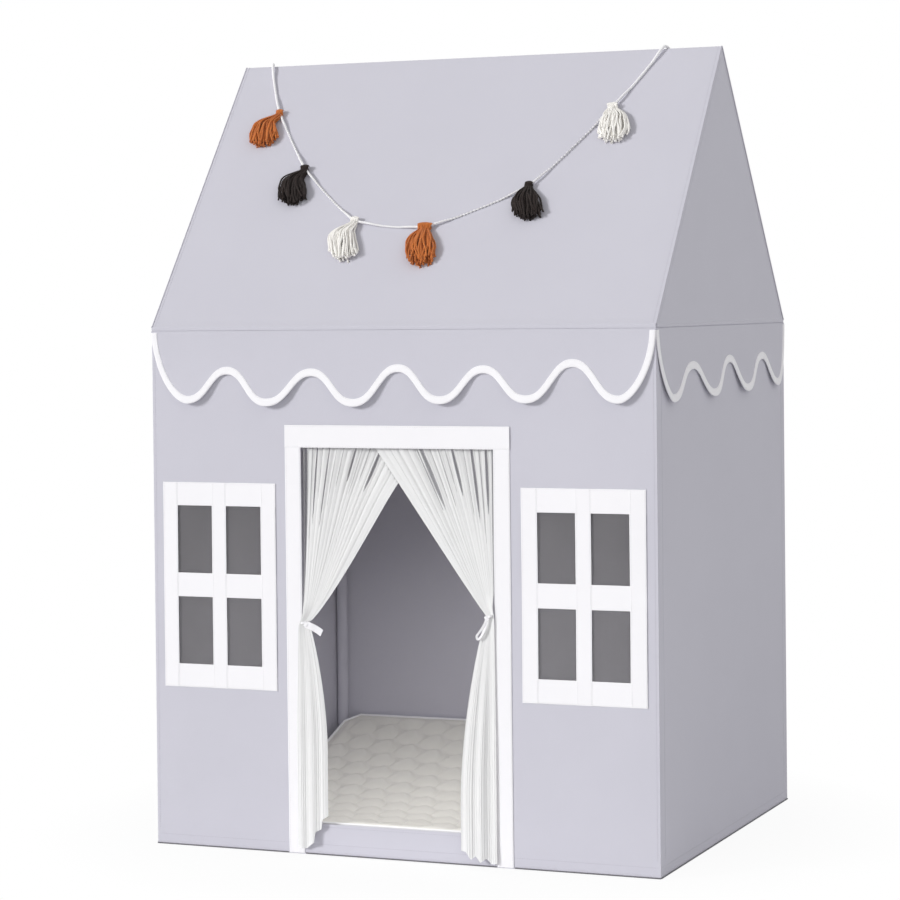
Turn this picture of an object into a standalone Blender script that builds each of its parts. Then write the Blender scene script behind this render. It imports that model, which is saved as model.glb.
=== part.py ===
# Kids play tent: a house-shaped frame of plastic tubes and corner connectors under a sewn
# cover, with a curtained door, netted windows, scalloped valances, a quilted mat and a
# garland of tassels. Metres, +Z up. The door faces -Y, and the origin is on the floor at
# the middle of the footprint.

import math

import bmesh
import bpy
from mathutils import Matrix, Vector

# Whole tent
WIDTH = 0.914
DEPTH = 0.762
EAVE_HEIGHT = 0.894
RIDGE_HEIGHT = 1.372
GAP = 0.0003
OVERRUN = 0.01
SHARP_ANGLE = math.radians(40)

# Cloths
CANVAS = 0.0016
TAPE = 0.0012
NET = 0.0006
VOILE = 0.0012

# Frame tubes and connectors
TUBE_RADIUS = 0.008
TUBE_WALL = 0.0015
TUBE_SIDES = 12
TUBE_FIT = 0.0004
SOCKET_WALL = 0.0021
SOCKET_START = 0.02
SOCKET_DEPTH = 0.025
HUB_MARGIN = 0.001
HUB_STEPS = 2
FOOT_RADIUS = 0.009

# Door
DOOR_WIDTH = 0.35
DOOR_TOP = 0.69
SILL_HEIGHT = 0.053
JAMB_WIDTH = 0.029
HEADER_HEIGHT = 0.038
TRIM_LIFT = 0.0015

# Windows
WINDOW_CENTRE_HEIGHT = 0.4515
WINDOW_MARGIN = 0.019
PANE_HEIGHT = 0.116
STILE = 0.028
MULLION = 0.027
RAIL = 0.04
CROSS_RAIL = 0.041
PANE_SEAM = 0.0015
NET_LAP = 0.012

# Valances
SEAM_DROP = 0.006
VALANCE_DROP = 0.122
VALANCE_RISE = 0.054
VALANCE_END = 0.063
VALANCE_CORNER_DROP = 0.003
VALANCE_STAND_OFF = 0.016
FRONT_LOBES = 6
SIDE_LOBES = 4
STEPS_PER_LOBE = 6
END_STEPS = 4
VALANCE_ROWS = 2

# Curtains
CURTAIN_LAP = 0.04
CURTAIN_SIDE_CLEAR = 0.001
CURTAIN_MEET_CLEAR = 0.0012
CURTAIN_BOTTOM = 0.016
CURTAIN_BEHIND = 0.001
CURTAIN_BEFORE_SILL = 0.004
CURTAIN_OVER_SILL = 0.03
WAIST_HEIGHT = 0.41
WAIST_HALF = 0.008
WAIST_WIDTH = 0.0225
WAIST_SIDE_CLEAR = 0.0025
TAIL_WIDTH = 0.05
TAIL_HEIGHT = 0.2
FOLD_DEPTH = 0.004
FOLDS = 6
STEPS_PER_FOLD = 4
HEM_WAVE = 0.005
CURTAIN_ROW_STEPS = (1, 2, 1, 2, 2, 1)

# Ribbon ties
RIBBON = 0.0009
RIBBON_WIDTH = 0.01
RIBBON_TAIL = 0.03
RIBBON_TAIL_DROP = 0.014

# Mat
MAT_THICKNESS = 0.024
MAT_EDGE = 0.012
MAT_STITCH = 0.0045
MAT_CROWN = 0.002
MAT_SIDE_DRAW = 0.004
MAT_CORNER = 0.05
MAT_CELL = 0.027

# Pole sleeves
SLEEVE_WALL = 0.0016

# Garland
CORD_DIAMETER = 0.005
ROUTE_STEPS = 40
CORD_SPACING = 0.016
CORD_BEND_SPACING = 0.0025
CORD_LIFT_REACH = 0.026
CORD_LIFT_FADE = 0.03
RIDGE_BEND = 0.009
TASSEL_LENGTH = 0.092
TASSEL_BORE = 0.0038
TASSEL_EYE_WALL = 0.0018
TASSEL_EYE_LENGTH = 0.016
TASSEL_WIDTH = 0.052
TASSEL_THICKNESS = 0.018
TASSEL_SIDES = 10

# A tassel's outline from its head down: shares of its length, width and thickness
TASSEL_SHARES = [
    (0.0, 0.17, 0.50), (0.12, 0.38, 0.66), (0.35, 0.58, 0.89),
    (0.70, 0.90, 1.0), (0.93, 1.0, 0.96), (1.0, 0.87, 0.85),
]

# The garland's route over the front roof slope, chosen by hand: across the tent from its
# middle, then up the slope from the eave. Past the slope's length it is over the ridge.
CORD_ROUTE = [
    (-0.420, 0.656), (-0.412, 0.634), (-0.403, 0.6145), (-0.397, 0.595), (-0.389, 0.5715),
    (-0.351, 0.487), (-0.262, 0.351), (-0.132, 0.228), (0.004, 0.211), (0.174, 0.298),
    (0.288, 0.472), (0.338, 0.5735), (0.347, 0.595), (0.355, 0.6145), (0.364, 0.634),
    (0.373, 0.656),
]
TASSEL_POINTS = [5, 6, 7, 8, 9, 10]
TASSEL_LEANS = [-0.10, 0.03, 0.06, 0.08, 0.07, 0.10]

# Places that follow from the sizes
SLOPE = math.atan2(RIDGE_HEIGHT - EAVE_HEIGHT, DEPTH / 2)
SLOPE_LENGTH = math.hypot(RIDGE_HEIGHT - EAVE_HEIGHT, DEPTH / 2)
SOCKET_RADIUS = TUBE_RADIUS + TUBE_FIT + SOCKET_WALL
HUB_RADIUS = SOCKET_RADIUS + HUB_MARGIN
ARM_LENGTH = SOCKET_START + SOCKET_DEPTH
INSET = CANVAS + GAP + HUB_RADIUS
POST_X = WIDTH / 2 - INSET
POST_Y = DEPTH / 2 - INSET
BASE_Z = HUB_RADIUS
EAVE_Z = EAVE_HEIGHT + INSET * math.tan(SLOPE) - INSET / math.cos(SLOPE)
RIDGE_Z = RIDGE_HEIGHT - INSET / math.cos(SLOPE)
SEAM_Z = EAVE_HEIGHT - SEAM_DROP
WALL_TOP = EAVE_HEIGHT - GAP
WINDOW_SPACE = WIDTH / 2 - DOOR_WIDTH / 2 - JAMB_WIDTH
WINDOW_X = WIDTH / 2 - WINDOW_SPACE / 2
WINDOW_WIDTH = WINDOW_SPACE - 2 * WINDOW_MARGIN
PANE_WIDTH = (WINDOW_WIDTH - 2 * STILE - MULLION) / 2
WINDOW_HEIGHT = 2 * RAIL + 2 * PANE_HEIGHT + CROSS_RAIL
CURTAIN_TOP = DOOR_TOP - GAP
CURTAIN_OUTER = DOOR_WIDTH / 2 - CURTAIN_SIDE_CLEAR
CURTAIN_FRONT = -DEPTH / 2 + CURTAIN_BEHIND
WAIST_OUTER = DOOR_WIDTH / 2 - WAIST_SIDE_CLEAR
WAIST_INNER = WAIST_OUTER - WAIST_WIDTH
WAIST_TOP = WAIST_HEIGHT + WAIST_HALF
WAIST_BOTTOM = WAIST_HEIGHT - WAIST_HALF
EYE_RADIUS = TASSEL_BORE + TASSEL_EYE_WALL
CORD_HEIGHT = CORD_DIAMETER / 2 + GAP
RIDGE_ARC = 2 * SLOPE * RIDGE_BEND
RIDGE_SINK = RIDGE_BEND - CORD_HEIGHT
CORD_RIDGE_HEIGHT = RIDGE_BEND - RIDGE_SINK * math.cos(SLOPE)
RIDGE_START = SLOPE_LENGTH - RIDGE_SINK * math.sin(SLOPE)
ROOF_OUT = Vector((0, -math.sin(SLOPE), math.cos(SLOPE)))
ROOF_DOWN = Vector((0, -math.cos(SLOPE), -math.sin(SLOPE)))
UP = Vector((0, 0, 1))
RIGHT = Vector((1, 0, 0))
FORWARD = Vector((0, -1, 0))
SIDES = {"left": -1, "right": 1}
ENDS = {"front": -1, "back": 1}


def clear_scene():
    for old in list(bpy.data.objects):
        bpy.data.objects.remove(old)


def make_material(name, colour, roughness):
    material = bpy.data.materials.new(name)
    material.use_nodes = True
    shader = material.node_tree.nodes["Principled BSDF"]
    shader.inputs["Base Color"].default_value = (*colour, 1)
    shader.inputs["Roughness"].default_value = roughness
    return material


def add_piece(name, bm, material, origin=(0, 0, 0), smooth=False):
    """Turns a bmesh in tent coordinates into an object whose origin is where it is asked."""
    bmesh.ops.recalc_face_normals(bm, faces=bm.faces)
    if bm.calc_volume(signed=True) < 0:
        bmesh.ops.reverse_faces(bm, faces=bm.faces)
    mesh = bpy.data.meshes.new(name)
    bm.to_mesh(mesh)
    bm.free()
    mesh.transform(Matrix.Translation(-Vector(origin)))
    if smooth:
        mesh.shade_smooth()
        mesh.set_sharp_from_angle(angle=SHARP_ANGLE)
    mesh.materials.append(material)
    piece = bpy.data.objects.new(name, mesh)
    piece.location = origin
    bpy.context.scene.collection.objects.link(piece)
    return piece


def combine(piece, tools, operation):
    """Joins tools to a piece, or cuts them from it, and removes them."""
    for tool in tools:
        tool.hide_render = True
        tool.display_type = "WIRE"
        step = piece.modifiers.new(operation.title(), "BOOLEAN")
        step.operation = operation
        step.solver = "EXACT"
        step.object = tool
    graph = bpy.context.evaluated_depsgraph_get()
    mesh = bpy.data.meshes.new_from_object(piece.evaluated_get(graph))
    piece.modifiers.clear()
    piece.data = mesh
    for tool in tools:
        bpy.data.objects.remove(tool)


def skin(rings, cyclic=False):
    """Joins closed rings of points with faces, and caps both ends unless it is cyclic."""
    bm = bmesh.new()
    loops = [[bm.verts.new(point) for point in ring] for ring in rings]
    pairs = list(zip(loops, loops[1:]))
    if cyclic:
        pairs.append((loops[-1], loops[0]))
    else:
        bm.faces.new(loops[0])
        bm.faces.new(loops[-1])
    for low, high in pairs:
        for i in range(len(low)):
            j = (i + 1) % len(low)
            bm.faces.new((low[i], low[j], high[j], high[i]))
    return bm


def circle_round(centre, direction, radius, sides=TUBE_SIDES):
    turn = direction.to_track_quat("Z", "Y").to_matrix()
    angles = [2 * math.pi * i / sides for i in range(sides)]
    return [centre + turn @ Vector((radius * math.cos(a), radius * math.sin(a), 0)) for a in angles]


def rod(start, end, radius):
    """A solid round bar between two points."""
    along = end - start
    ends = (start, end)
    return skin([circle_round(place, along, radius) for place in ends])


def pipe(start, end, outer, inner):
    """A tube with open ends between two points."""
    along = end - start
    walls = ((start, outer), (end, outer), (end, inner), (start, inner))
    rings = [circle_round(place, along, radius) for place, radius in walls]
    return skin(rings, cyclic=True)


def flat_panel(outline, holes, thickness):
    """A flat sheet in local X and Y, with holes, whose outer face is at local Z zero."""
    bm = bmesh.new()
    for ring in [outline] + holes:
        points = [bm.verts.new((u, v, 0)) for u, v in ring]
        for a, b in zip(points, points[1:] + points[:1]):
            bm.edges.new((a, b))
    bmesh.ops.triangle_fill(bm, use_beauty=True, edges=bm.edges[:], normal=(0, 0, 1))
    copied = bmesh.ops.extrude_face_region(bm, geom=bm.faces[:], use_keep_orig=True)
    moved = [item for item in copied["geom"] if isinstance(item, bmesh.types.BMVert)]
    bmesh.ops.translate(bm, verts=moved, vec=(0, 0, -thickness))
    return bm


def rectangle(centre_u, centre_v, width, height):
    left, right = centre_u - width / 2, centre_u + width / 2
    low, high = centre_v - height / 2, centre_v + height / 2
    return [(left, low), (right, low), (right, high), (left, high)]


def facing(out, distance):
    """The place of an upright panel that faces outwards, at a distance from the middle."""
    across = UP.cross(out)
    place = Matrix((across, UP, out)).transposed().to_4x4()
    place.translation = out * distance
    return place


def add_panel(name, outline, holes, thickness, place, material):
    bm = flat_panel(outline, holes, thickness)
    bm.transform(place)
    return add_piece(name, bm, material)


# Frame

def connector(name, centre, arms, material, foot=False):
    """A moulded corner: one socket for each tube that ends there, round a solid hub."""
    hub = bmesh.new()
    place = Matrix.Translation(centre)
    bmesh.ops.create_icosphere(hub, subdivisions=HUB_STEPS, radius=HUB_RADIUS, matrix=place)
    piece = add_piece(name, hub, material)
    limbs = [rod(centre, centre + arm * ARM_LENGTH, SOCKET_RADIUS) for arm in arms]
    if foot:
        limbs.append(rod(centre, centre - UP * BASE_Z, FOOT_RADIUS))
    combine(piece, [add_piece("limb", limb, material) for limb in limbs], "UNION")
    bore_end = ARM_LENGTH + OVERRUN
    bores = [
        rod(centre + arm * SOCKET_START, centre + arm * bore_end, TUBE_RADIUS + TUBE_FIT)
        for arm in arms
    ]
    combine(piece, [add_piece("bore", bore, material) for bore in bores], "DIFFERENCE")


def frame_tube(name, start, end, material):
    """A tube whose ends stand in the sockets of the connectors at its two nodes."""
    along = (end - start).normalized()
    inset = along * (SOCKET_START + GAP)
    tube = pipe(start + inset, end - inset, TUBE_RADIUS, TUBE_RADIUS - TUBE_WALL)
    add_piece(name, tube, material, smooth=True)


def add_frame(tube_finish, joint_finish):
    base, eave, ridge = {}, {}, {}
    for side, sx in SIDES.items():
        ridge[side] = Vector((sx * POST_X, 0, RIDGE_Z))
        for end, sy in ENDS.items():
            base[side, end] = Vector((sx * POST_X, sy * POST_Y, BASE_Z))
            eave[side, end] = Vector((sx * POST_X, sy * POST_Y, EAVE_Z))

    for side, sx in SIDES.items():
        rakes = []
        for end, sy in ENDS.items():
            corner = f"{end}_{side}"
            low, high = base[side, end], eave[side, end]
            rake = (ridge[side] - high).normalized()
            rakes.append(-rake)
            arms = [UP, -sx * RIGHT, sy * FORWARD]
            connector(f"base_connector_{corner}", low, arms, joint_finish, foot=True)
            arms = [-UP, -sx * RIGHT, sy * FORWARD, rake]
            connector(f"eave_connector_{corner}", high, arms, joint_finish)
            frame_tube(f"post_{corner}", low, high, tube_finish)
            frame_tube(f"rafter_{corner}", high, ridge[side], tube_finish)
        connector(f"ridge_connector_{side}", ridge[side], [-sx * RIGHT] + rakes, joint_finish)
        frame_tube(f"base_rail_{side}", base[side, "front"], base[side, "back"], tube_finish)
        frame_tube(f"eave_rail_{side}", eave[side, "front"], eave[side, "back"], tube_finish)
    for end in ENDS:
        frame_tube(f"base_rail_{end}", base["left", end], base["right", end], tube_finish)
        frame_tube(f"eave_rail_{end}", eave["left", end], eave["right", end], tube_finish)
    frame_tube("ridge_pole", ridge["left"], ridge["right"], tube_finish)


def add_sleeves(material):
    """The cloth channels that hold the posts against the corner seams."""
    low = BASE_Z + ARM_LENGTH + GAP
    high = EAVE_Z - ARM_LENGTH - GAP
    for side, sx in SIDES.items():
        for end, sy in ENDS.items():
            foot = Vector((sx * POST_X, sy * POST_Y, low))
            head = Vector((sx * POST_X, sy * POST_Y, high))
            sleeve = pipe(foot, head, HUB_RADIUS, HUB_RADIUS - SLEEVE_WALL)
            add_piece(f"post_sleeve_{end}_{side}", sleeve, material, smooth=True)


# Cover

def window_panes(middle, margin):
    """The four panes of a window, each with a margin round it."""
    across, up = (MULLION + PANE_WIDTH) / 2, (CROSS_RAIL + PANE_HEIGHT) / 2
    width, height = PANE_WIDTH + 2 * margin, PANE_HEIGHT + 2 * margin
    centres = [
        (middle + i * across, WINDOW_CENTRE_HEIGHT + j * up) for i in (-1, 1) for j in (-1, 1)
    ]
    return [rectangle(u, v, width, height) for u, v in centres]


def add_walls(material):
    outline = rectangle(0, WALL_TOP / 2, WIDTH, WALL_TOP)
    door_height = DOOR_TOP - SILL_HEIGHT
    holes = [rectangle(0, SILL_HEIGHT + door_height / 2, DOOR_WIDTH, door_height)]
    for middle in (-WINDOW_X, WINDOW_X):
        holes += window_panes(middle, PANE_SEAM)
    add_panel("front_wall", outline, holes, CANVAS, facing(FORWARD, DEPTH / 2), material)
    add_panel("back_wall", outline, [], CANVAS, facing(-FORWARD, DEPTH / 2), material)

    side_width = DEPTH - 2 * (CANVAS + GAP)
    side_outline = rectangle(0, WALL_TOP / 2, side_width, WALL_TOP)
    under_roof = CANVAS + GAP
    gable_half = DEPTH / 2 - under_roof / math.sin(SLOPE)
    gable_top = RIDGE_HEIGHT - under_roof / math.cos(SLOPE)
    gable = [(-gable_half, EAVE_HEIGHT), (gable_half, EAVE_HEIGHT), (0, gable_top)]
    for side, sx in SIDES.items():
        place = facing(RIGHT * sx, WIDTH / 2)
        add_panel(f"side_wall_{side}", side_outline, [], CANVAS, place, material)
        add_panel(f"gable_{side}", gable, [], CANVAS, place, material)


def add_roof(material):
    """Two slopes that meet along the ridge, each cut level at its eave."""
    lap = CANVAS / math.sin(SLOPE)
    fall = CANVAS / math.cos(SLOPE)
    crest = GAP / 2
    crest_fall = crest * math.tan(SLOPE)
    profile = [
        (DEPTH / 2, EAVE_HEIGHT),
        (crest, RIDGE_HEIGHT - crest_fall),
        (crest, RIDGE_HEIGHT - crest_fall - fall),
        (DEPTH / 2 - lap, EAVE_HEIGHT),
    ]
    for end, sy in ENDS.items():
        ends = [[Vector((x, sy * y, z)) for y, z in profile] for x in (-WIDTH / 2, WIDTH / 2)]
        add_piece(f"roof_{end}", skin(ends), material)


def add_trims(material, net_material):
    """The white surround of the door, and the windows' white frames with their nets."""
    place = facing(FORWARD, DEPTH / 2 + GAP + TAPE)
    inner, outer = DOOR_WIDTH / 2, DOOR_WIDTH / 2 + JAMB_WIDTH
    top = DOOR_TOP + HEADER_HEIGHT
    surround = [
        (-outer, TRIM_LIFT), (-inner, TRIM_LIFT), (-inner, DOOR_TOP), (inner, DOOR_TOP),
        (inner, TRIM_LIFT), (outer, TRIM_LIFT), (outer, top), (-outer, top),
    ]
    add_panel("door_trim", surround, [], TAPE, place, material)

    behind = facing(FORWARD, DEPTH / 2 - CANVAS - GAP)
    net_width = 2 * PANE_WIDTH + MULLION + 2 * NET_LAP
    net_height = 2 * PANE_HEIGHT + CROSS_RAIL + 2 * NET_LAP
    for side, sx in SIDES.items():
        middle = sx * WINDOW_X
        outline = rectangle(middle, WINDOW_CENTRE_HEIGHT, WINDOW_WIDTH, WINDOW_HEIGHT)
        panes = window_panes(middle, 0)
        add_panel(f"window_frame_{side}", outline, panes, TAPE, place, material)
        net = rectangle(middle, WINDOW_CENTRE_HEIGHT, net_width, net_height)
        add_panel(f"window_net_{side}", net, [], NET, behind, net_material)


# Valances

def valance_columns(length, lobes):
    """Places along a valance and its drop at each: waves between elliptical ends."""
    last = length / 2 - VALANCE_END
    pitch = 2 * last / (lobes - 1)
    middle = VALANCE_DROP - VALANCE_RISE / 2
    inner = []
    steps = (lobes - 1) * STEPS_PER_LOBE
    for i in range(steps + 1):
        place = -last + 2 * last * i / steps
        wave = math.cos(2 * math.pi * (place + last) / pitch)
        inner.append((place, middle + VALANCE_RISE / 2 * wave))
    curve = VALANCE_DROP - VALANCE_CORNER_DROP
    turns = [math.pi / 2 * i / END_STEPS for i in range(1, END_STEPS + 1)]
    end = [
        (last + VALANCE_END * math.sin(turn), VALANCE_CORNER_DROP + curve * math.cos(turn))
        for turn in turns
    ]
    start = [(-place, drop) for place, drop in reversed(end)]
    return start + inner + end


def add_valance(name, length, lobes, half, out, material):
    """A flap sewn under an eave, which stands off the wall towards its scalloped edge."""
    across = UP.cross(out)
    near, far = [], []
    for place, drop in valance_columns(length, lobes):
        column = []
        for row in range(VALANCE_ROWS + 1):
            down = drop * row / VALANCE_ROWS
            off = GAP + VALANCE_STAND_OFF * (down / VALANCE_DROP) ** 2
            column.append(across * place + out * (half + off) + UP * (SEAM_Z - down))
        near.append(column)
        far.append([point + out * TAPE for point in column])
    hinge = out * (half + GAP + TAPE / 2) + UP * SEAM_Z
    flap = skin([a + list(reversed(b)) for a, b in zip(near, far)])
    add_piece(name, flap, material, origin=hinge)


def add_valances(material):
    for end, sy in ENDS.items():
        add_valance(f"valance_{end}", WIDTH, FRONT_LOBES, DEPTH / 2, -sy * FORWARD, material)
    for side, sx in SIDES.items():
        add_valance(f"valance_{side}", DEPTH, SIDE_LOBES, WIDTH / 2, sx * RIGHT, material)


# Curtains, in distances from the door's middle towards their own jamb

def ease(share):
    """A smooth step from 0 to 1."""
    share = min(max(share, 0.0), 1.0)
    return share * share * (3 - 2 * share)


def curtain_edges(z, under):
    """Outer and inner edge of a curtain at a height."""
    if z > WAIST_TOP:
        share = (z - WAIST_TOP) / (CURTAIN_TOP - WAIST_TOP)
        outer = WAIST_OUTER + (CURTAIN_OUTER - WAIST_OUTER) * share
        inner = WAIST_INNER - (CURTAIN_LAP + WAIST_INNER) * share
        if under:
            inner = max(inner, CURTAIN_MEET_CLEAR - inner)
        return outer, inner
    share = ease((WAIST_BOTTOM - z) / (WAIST_BOTTOM - TAIL_HEIGHT))
    outer = WAIST_OUTER + (CURTAIN_OUTER - WAIST_OUTER) * share
    inner = WAIST_INNER + (CURTAIN_OUTER - TAIL_WIDTH - WAIST_INNER) * share
    return outer, inner


def curtain_depth(z):
    """Where the middle of the folds is: behind the header, and in front of the sill."""
    hung = CURTAIN_FRONT + FOLD_DEPTH
    tail = -DEPTH / 2 - CURTAIN_BEFORE_SILL - VOILE - FOLD_DEPTH
    share = ease((CURTAIN_TOP - z) / (CURTAIN_TOP - SILL_HEIGHT - CURTAIN_OVER_SILL))
    return hung + (tail - hung) * share


def curtain_heights():
    """Heights of a curtain's rows, one of them where the two hems cross."""
    crossing = CURTAIN_TOP - (CURTAIN_TOP - WAIST_TOP) * CURTAIN_LAP / (CURTAIN_LAP + WAIST_INNER)
    stops = [CURTAIN_TOP, crossing, WAIST_TOP, WAIST_BOTTOM, TAIL_HEIGHT, SILL_HEIGHT, CURTAIN_BOTTOM]
    heights = [CURTAIN_TOP]
    for start, end, steps in zip(stops, stops[1:], CURTAIN_ROW_STEPS):
        heights += [start + (end - start) * i / steps for i in range(1, steps + 1)]
    return heights


def add_curtain(name, sx, under, material):
    """A gathered voile panel, tied back at its waist, with its tail over the sill."""
    columns = FOLDS * STEPS_PER_FOLD
    near, far = [], []
    for z in curtain_heights():
        outer, inner = curtain_edges(z, under)
        middle = curtain_depth(z)
        row = []
        for i in range(columns + 1):
            share = i / columns
            fold = -math.cos(2 * math.pi * FOLDS * share)
            hem = HEM_WAVE * (1 + fold) / 2 if z == CURTAIN_BOTTOM else 0
            x = outer + (inner - outer) * share
            row.append(Vector((sx * x, middle + FOLD_DEPTH * fold, z + hem)))
        near.append(row)
        far.append([point + Vector((0, VOILE, 0)) for point in row])
    panel = skin([a + list(reversed(b)) for a, b in zip(near, far)])
    add_piece(name, panel, material, origin=(0, CURTAIN_FRONT, CURTAIN_TOP), smooth=True)


def add_tie(name, sx, material):
    """A ribbon round a curtain's waist, with a short tail."""
    clear = 2 * GAP
    centre_x = (WAIST_OUTER + WAIST_INNER) / 2
    centre_y = curtain_depth(WAIST_HEIGHT) + VOILE / 2
    inner = (WAIST_WIDTH / 2 + clear, FOLD_DEPTH + VOILE / 2 + clear)
    low, high = WAIST_HEIGHT - RIBBON_WIDTH / 2, WAIST_HEIGHT + RIBBON_WIDTH / 2
    rings = []
    for z, grow in ((low, 0), (high, 0), (high, RIBBON), (low, RIBBON)):
        corners = rectangle(centre_x, centre_y, 2 * (inner[0] + grow), 2 * (inner[1] + grow))
        rings.append([Vector((sx * x, y, z)) for x, y in corners])
    origin = (0, CURTAIN_FRONT, CURTAIN_TOP)
    band = add_piece(name, skin(rings, cyclic=True), material, origin=origin)

    start_x = centre_x - inner[0] - RIBBON / 2
    end_x, end_z = start_x - RIBBON_TAIL, WAIST_HEIGHT - RIBBON_TAIL_DROP
    sections = []
    for x, z in ((start_x, WAIST_HEIGHT), (end_x, end_z)):
        half = RIBBON_WIDTH / 2 - GAP
        front, rear = centre_y - RIBBON / 2, centre_y + RIBBON / 2
        section = [(front, z - half), (rear, z - half), (rear, z + half), (front, z + half)]
        sections.append([Vector((sx * x, y, height)) for y, height in section])
    combine(band, [add_piece("tail", skin(sections), material)], "UNION")


# Mat

def add_mat(material):
    """A quilted pad between the base rails, with its corners cut off for the sockets."""
    half_x = POST_X - TUBE_RADIUS - GAP
    half_y = POST_Y - TUBE_RADIUS - GAP
    columns = 2 * round(half_x / MAT_CELL)
    rows = 2 * round(half_y / MAT_CELL)
    bm = bmesh.new()
    grid = {}
    for i in range(columns + 1):
        for j in range(rows + 1):
            u, v = 2 * i / columns - 1, 2 * j / rows - 1
            x, y = u * half_x, v * half_y
            over = (abs(x) + abs(y)) - (half_x + half_y - MAT_CORNER)
            if over > 0:
                x -= math.copysign(over / 2, x)
                y -= math.copysign(over / 2, y)
            rim = abs(u) > 1 - 1 / columns or abs(v) > 1 - 1 / rows
            crown = MAT_CROWN * (1 - u * u) * (1 - v * v)
            puff = 0 if (i + j) % 2 else MAT_STITCH
            top = MAT_EDGE if rim else MAT_THICKNESS - MAT_CROWN - MAT_STITCH + crown + puff
            grid[i, j] = bm.verts.new((x, y, top))
    for i in range(columns):
        for j in range(rows):
            a, b, c, d = grid[i, j], grid[i + 1, j], grid[i + 1, j + 1], grid[i, j + 1]
            if (i + j) % 2:
                bm.faces.new((a, b, c))
                bm.faces.new((a, c, d))
            else:
                bm.faces.new((a, b, d))
                bm.faces.new((b, c, d))
    rim = [grid[i, 0] for i in range(columns)] + [grid[columns, j] for j in range(rows)]
    rim += [grid[i, rows] for i in range(columns, 0, -1)] + [grid[0, j] for j in range(rows, 0, -1)]
    draw = Vector((1 - MAT_SIDE_DRAW / half_x, 1 - MAT_SIDE_DRAW / half_y, 0))
    foot = [bm.verts.new(vert.co * draw) for vert in rim]
    for k, vert in enumerate(rim):
        n = (k + 1) % len(rim)
        bm.faces.new((vert, rim[n], foot[n], foot[k]))
    bm.faces.new(foot)
    add_piece("mat", bm, material)


# Garland

def on_roof(x, run, height):
    """A point over the roof: a distance up the front slope, round the ridge and down again.

    Round the ridge the cord follows an arc, whose ends stand higher off the slopes than its
    top stands over the ridge, because a soft cord can't bend as sharply as the cloth.
    """
    tilt = min(max((run - RIDGE_START) / RIDGE_BEND, 0), 2 * SLOPE) - SLOPE
    before = max(RIDGE_START - run, 0)
    after = max(run - RIDGE_START - RIDGE_ARC, 0)
    centre = Vector((x, 0, RIDGE_HEIGHT - RIDGE_SINK))
    off_slope = height - CORD_RIDGE_HEIGHT
    point = centre + Vector((0, math.sin(tilt), math.cos(tilt))) * (RIDGE_BEND + off_slope)
    point += ROOF_DOWN * before
    return point + Vector((0, math.cos(SLOPE), -math.sin(SLOPE))) * after


def smooth_route(points):
    """Points of a smooth curve through hand-placed ones, and which of them is which."""
    fine, marks = [], []
    padded = [points[0] * 2 - points[1]] + points + [points[-1] * 2 - points[-2]]
    for k in range(1, len(padded) - 2):
        p0, p1, p2, p3 = padded[k - 1 : k + 3]
        t1, t2 = (p1 - p0).length ** 0.5, (p2 - p1).length ** 0.5
        t3 = (p3 - p2).length ** 0.5
        out_slope = ((p1 - p0) / t1 - (p2 - p0) / (t1 + t2) + (p2 - p1) / t2) * t2
        in_slope = ((p2 - p1) / t2 - (p3 - p1) / (t2 + t3) + (p3 - p2) / t3) * t2
        marks.append(len(fine))
        for i in range(ROUTE_STEPS):
            s = i / ROUTE_STEPS
            a, b = 2 * s**3 - 3 * s**2 + 1, s**3 - 2 * s**2 + s
            c, d = -2 * s**3 + 3 * s**2, s**3 - s**2
            fine.append(p1 * a + out_slope * b + p2 * c + in_slope * d)
    fine.append(points[-1].copy())
    marks.append(len(fine) - 1)
    return fine, marks


def cord_line():
    """The garland's centreline, and the place and direction at each tassel."""
    fine, marks = smooth_route([Vector((x, run, 0)) for x, run in CORD_ROUTE])
    along = [0.0]
    for a, b in zip(fine, fine[1:]):
        along.append(along[-1] + (b - a).length)
    middle = RIDGE_START + RIDGE_ARC / 2
    halves = (range(len(fine) // 2), range(len(fine) // 2, len(fine)))
    over = [along[min(half, key=lambda k: abs(fine[k].y - middle))] for half in halves]
    hung = [along[marks[k]] for k in TASSEL_POINTS]

    def height(place):
        near = min(abs(place - s) for s in hung) - CORD_LIFT_REACH
        ridge = min(abs(place - s) for s in over) - RIDGE_ARC
        eye_rise = (EYE_RADIUS + GAP - CORD_HEIGHT) * (1 - ease(near / CORD_LIFT_FADE))
        ridge_rise = (CORD_RIDGE_HEIGHT - CORD_HEIGHT) * (1 - ease(ridge / CORD_LIFT_FADE))
        return CORD_HEIGHT + max(eye_rise, ridge_rise)

    placed = [on_roof(p.x, p.y, height(s)) for p, s in zip(fine, along)]
    bends = [place + side * RIDGE_ARC for place in over for side in (-1, 1)]
    stops = [0.0] + bends + [along[-1]]
    wanted = [0.0]
    for k, (start, end) in enumerate(zip(stops, stops[1:])):
        steps = round((end - start) / (CORD_BEND_SPACING if k % 2 else CORD_SPACING))
        wanted += [start + (end - start) * i / steps for i in range(1, steps + 1)]
    line = []
    k = 0
    for s in wanted:
        while k < len(along) - 2 and along[k + 1] < s:
            k += 1
        share = min((s - along[k]) / (along[k + 1] - along[k]), 1.0)
        line.append(placed[k].lerp(placed[k + 1], share))
    hangers = []
    for mark in (marks[k] for k in TASSEL_POINTS):
        hangers.append((placed[mark], (placed[mark + 1] - placed[mark - 1]).normalized()))
    return line, hangers


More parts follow.
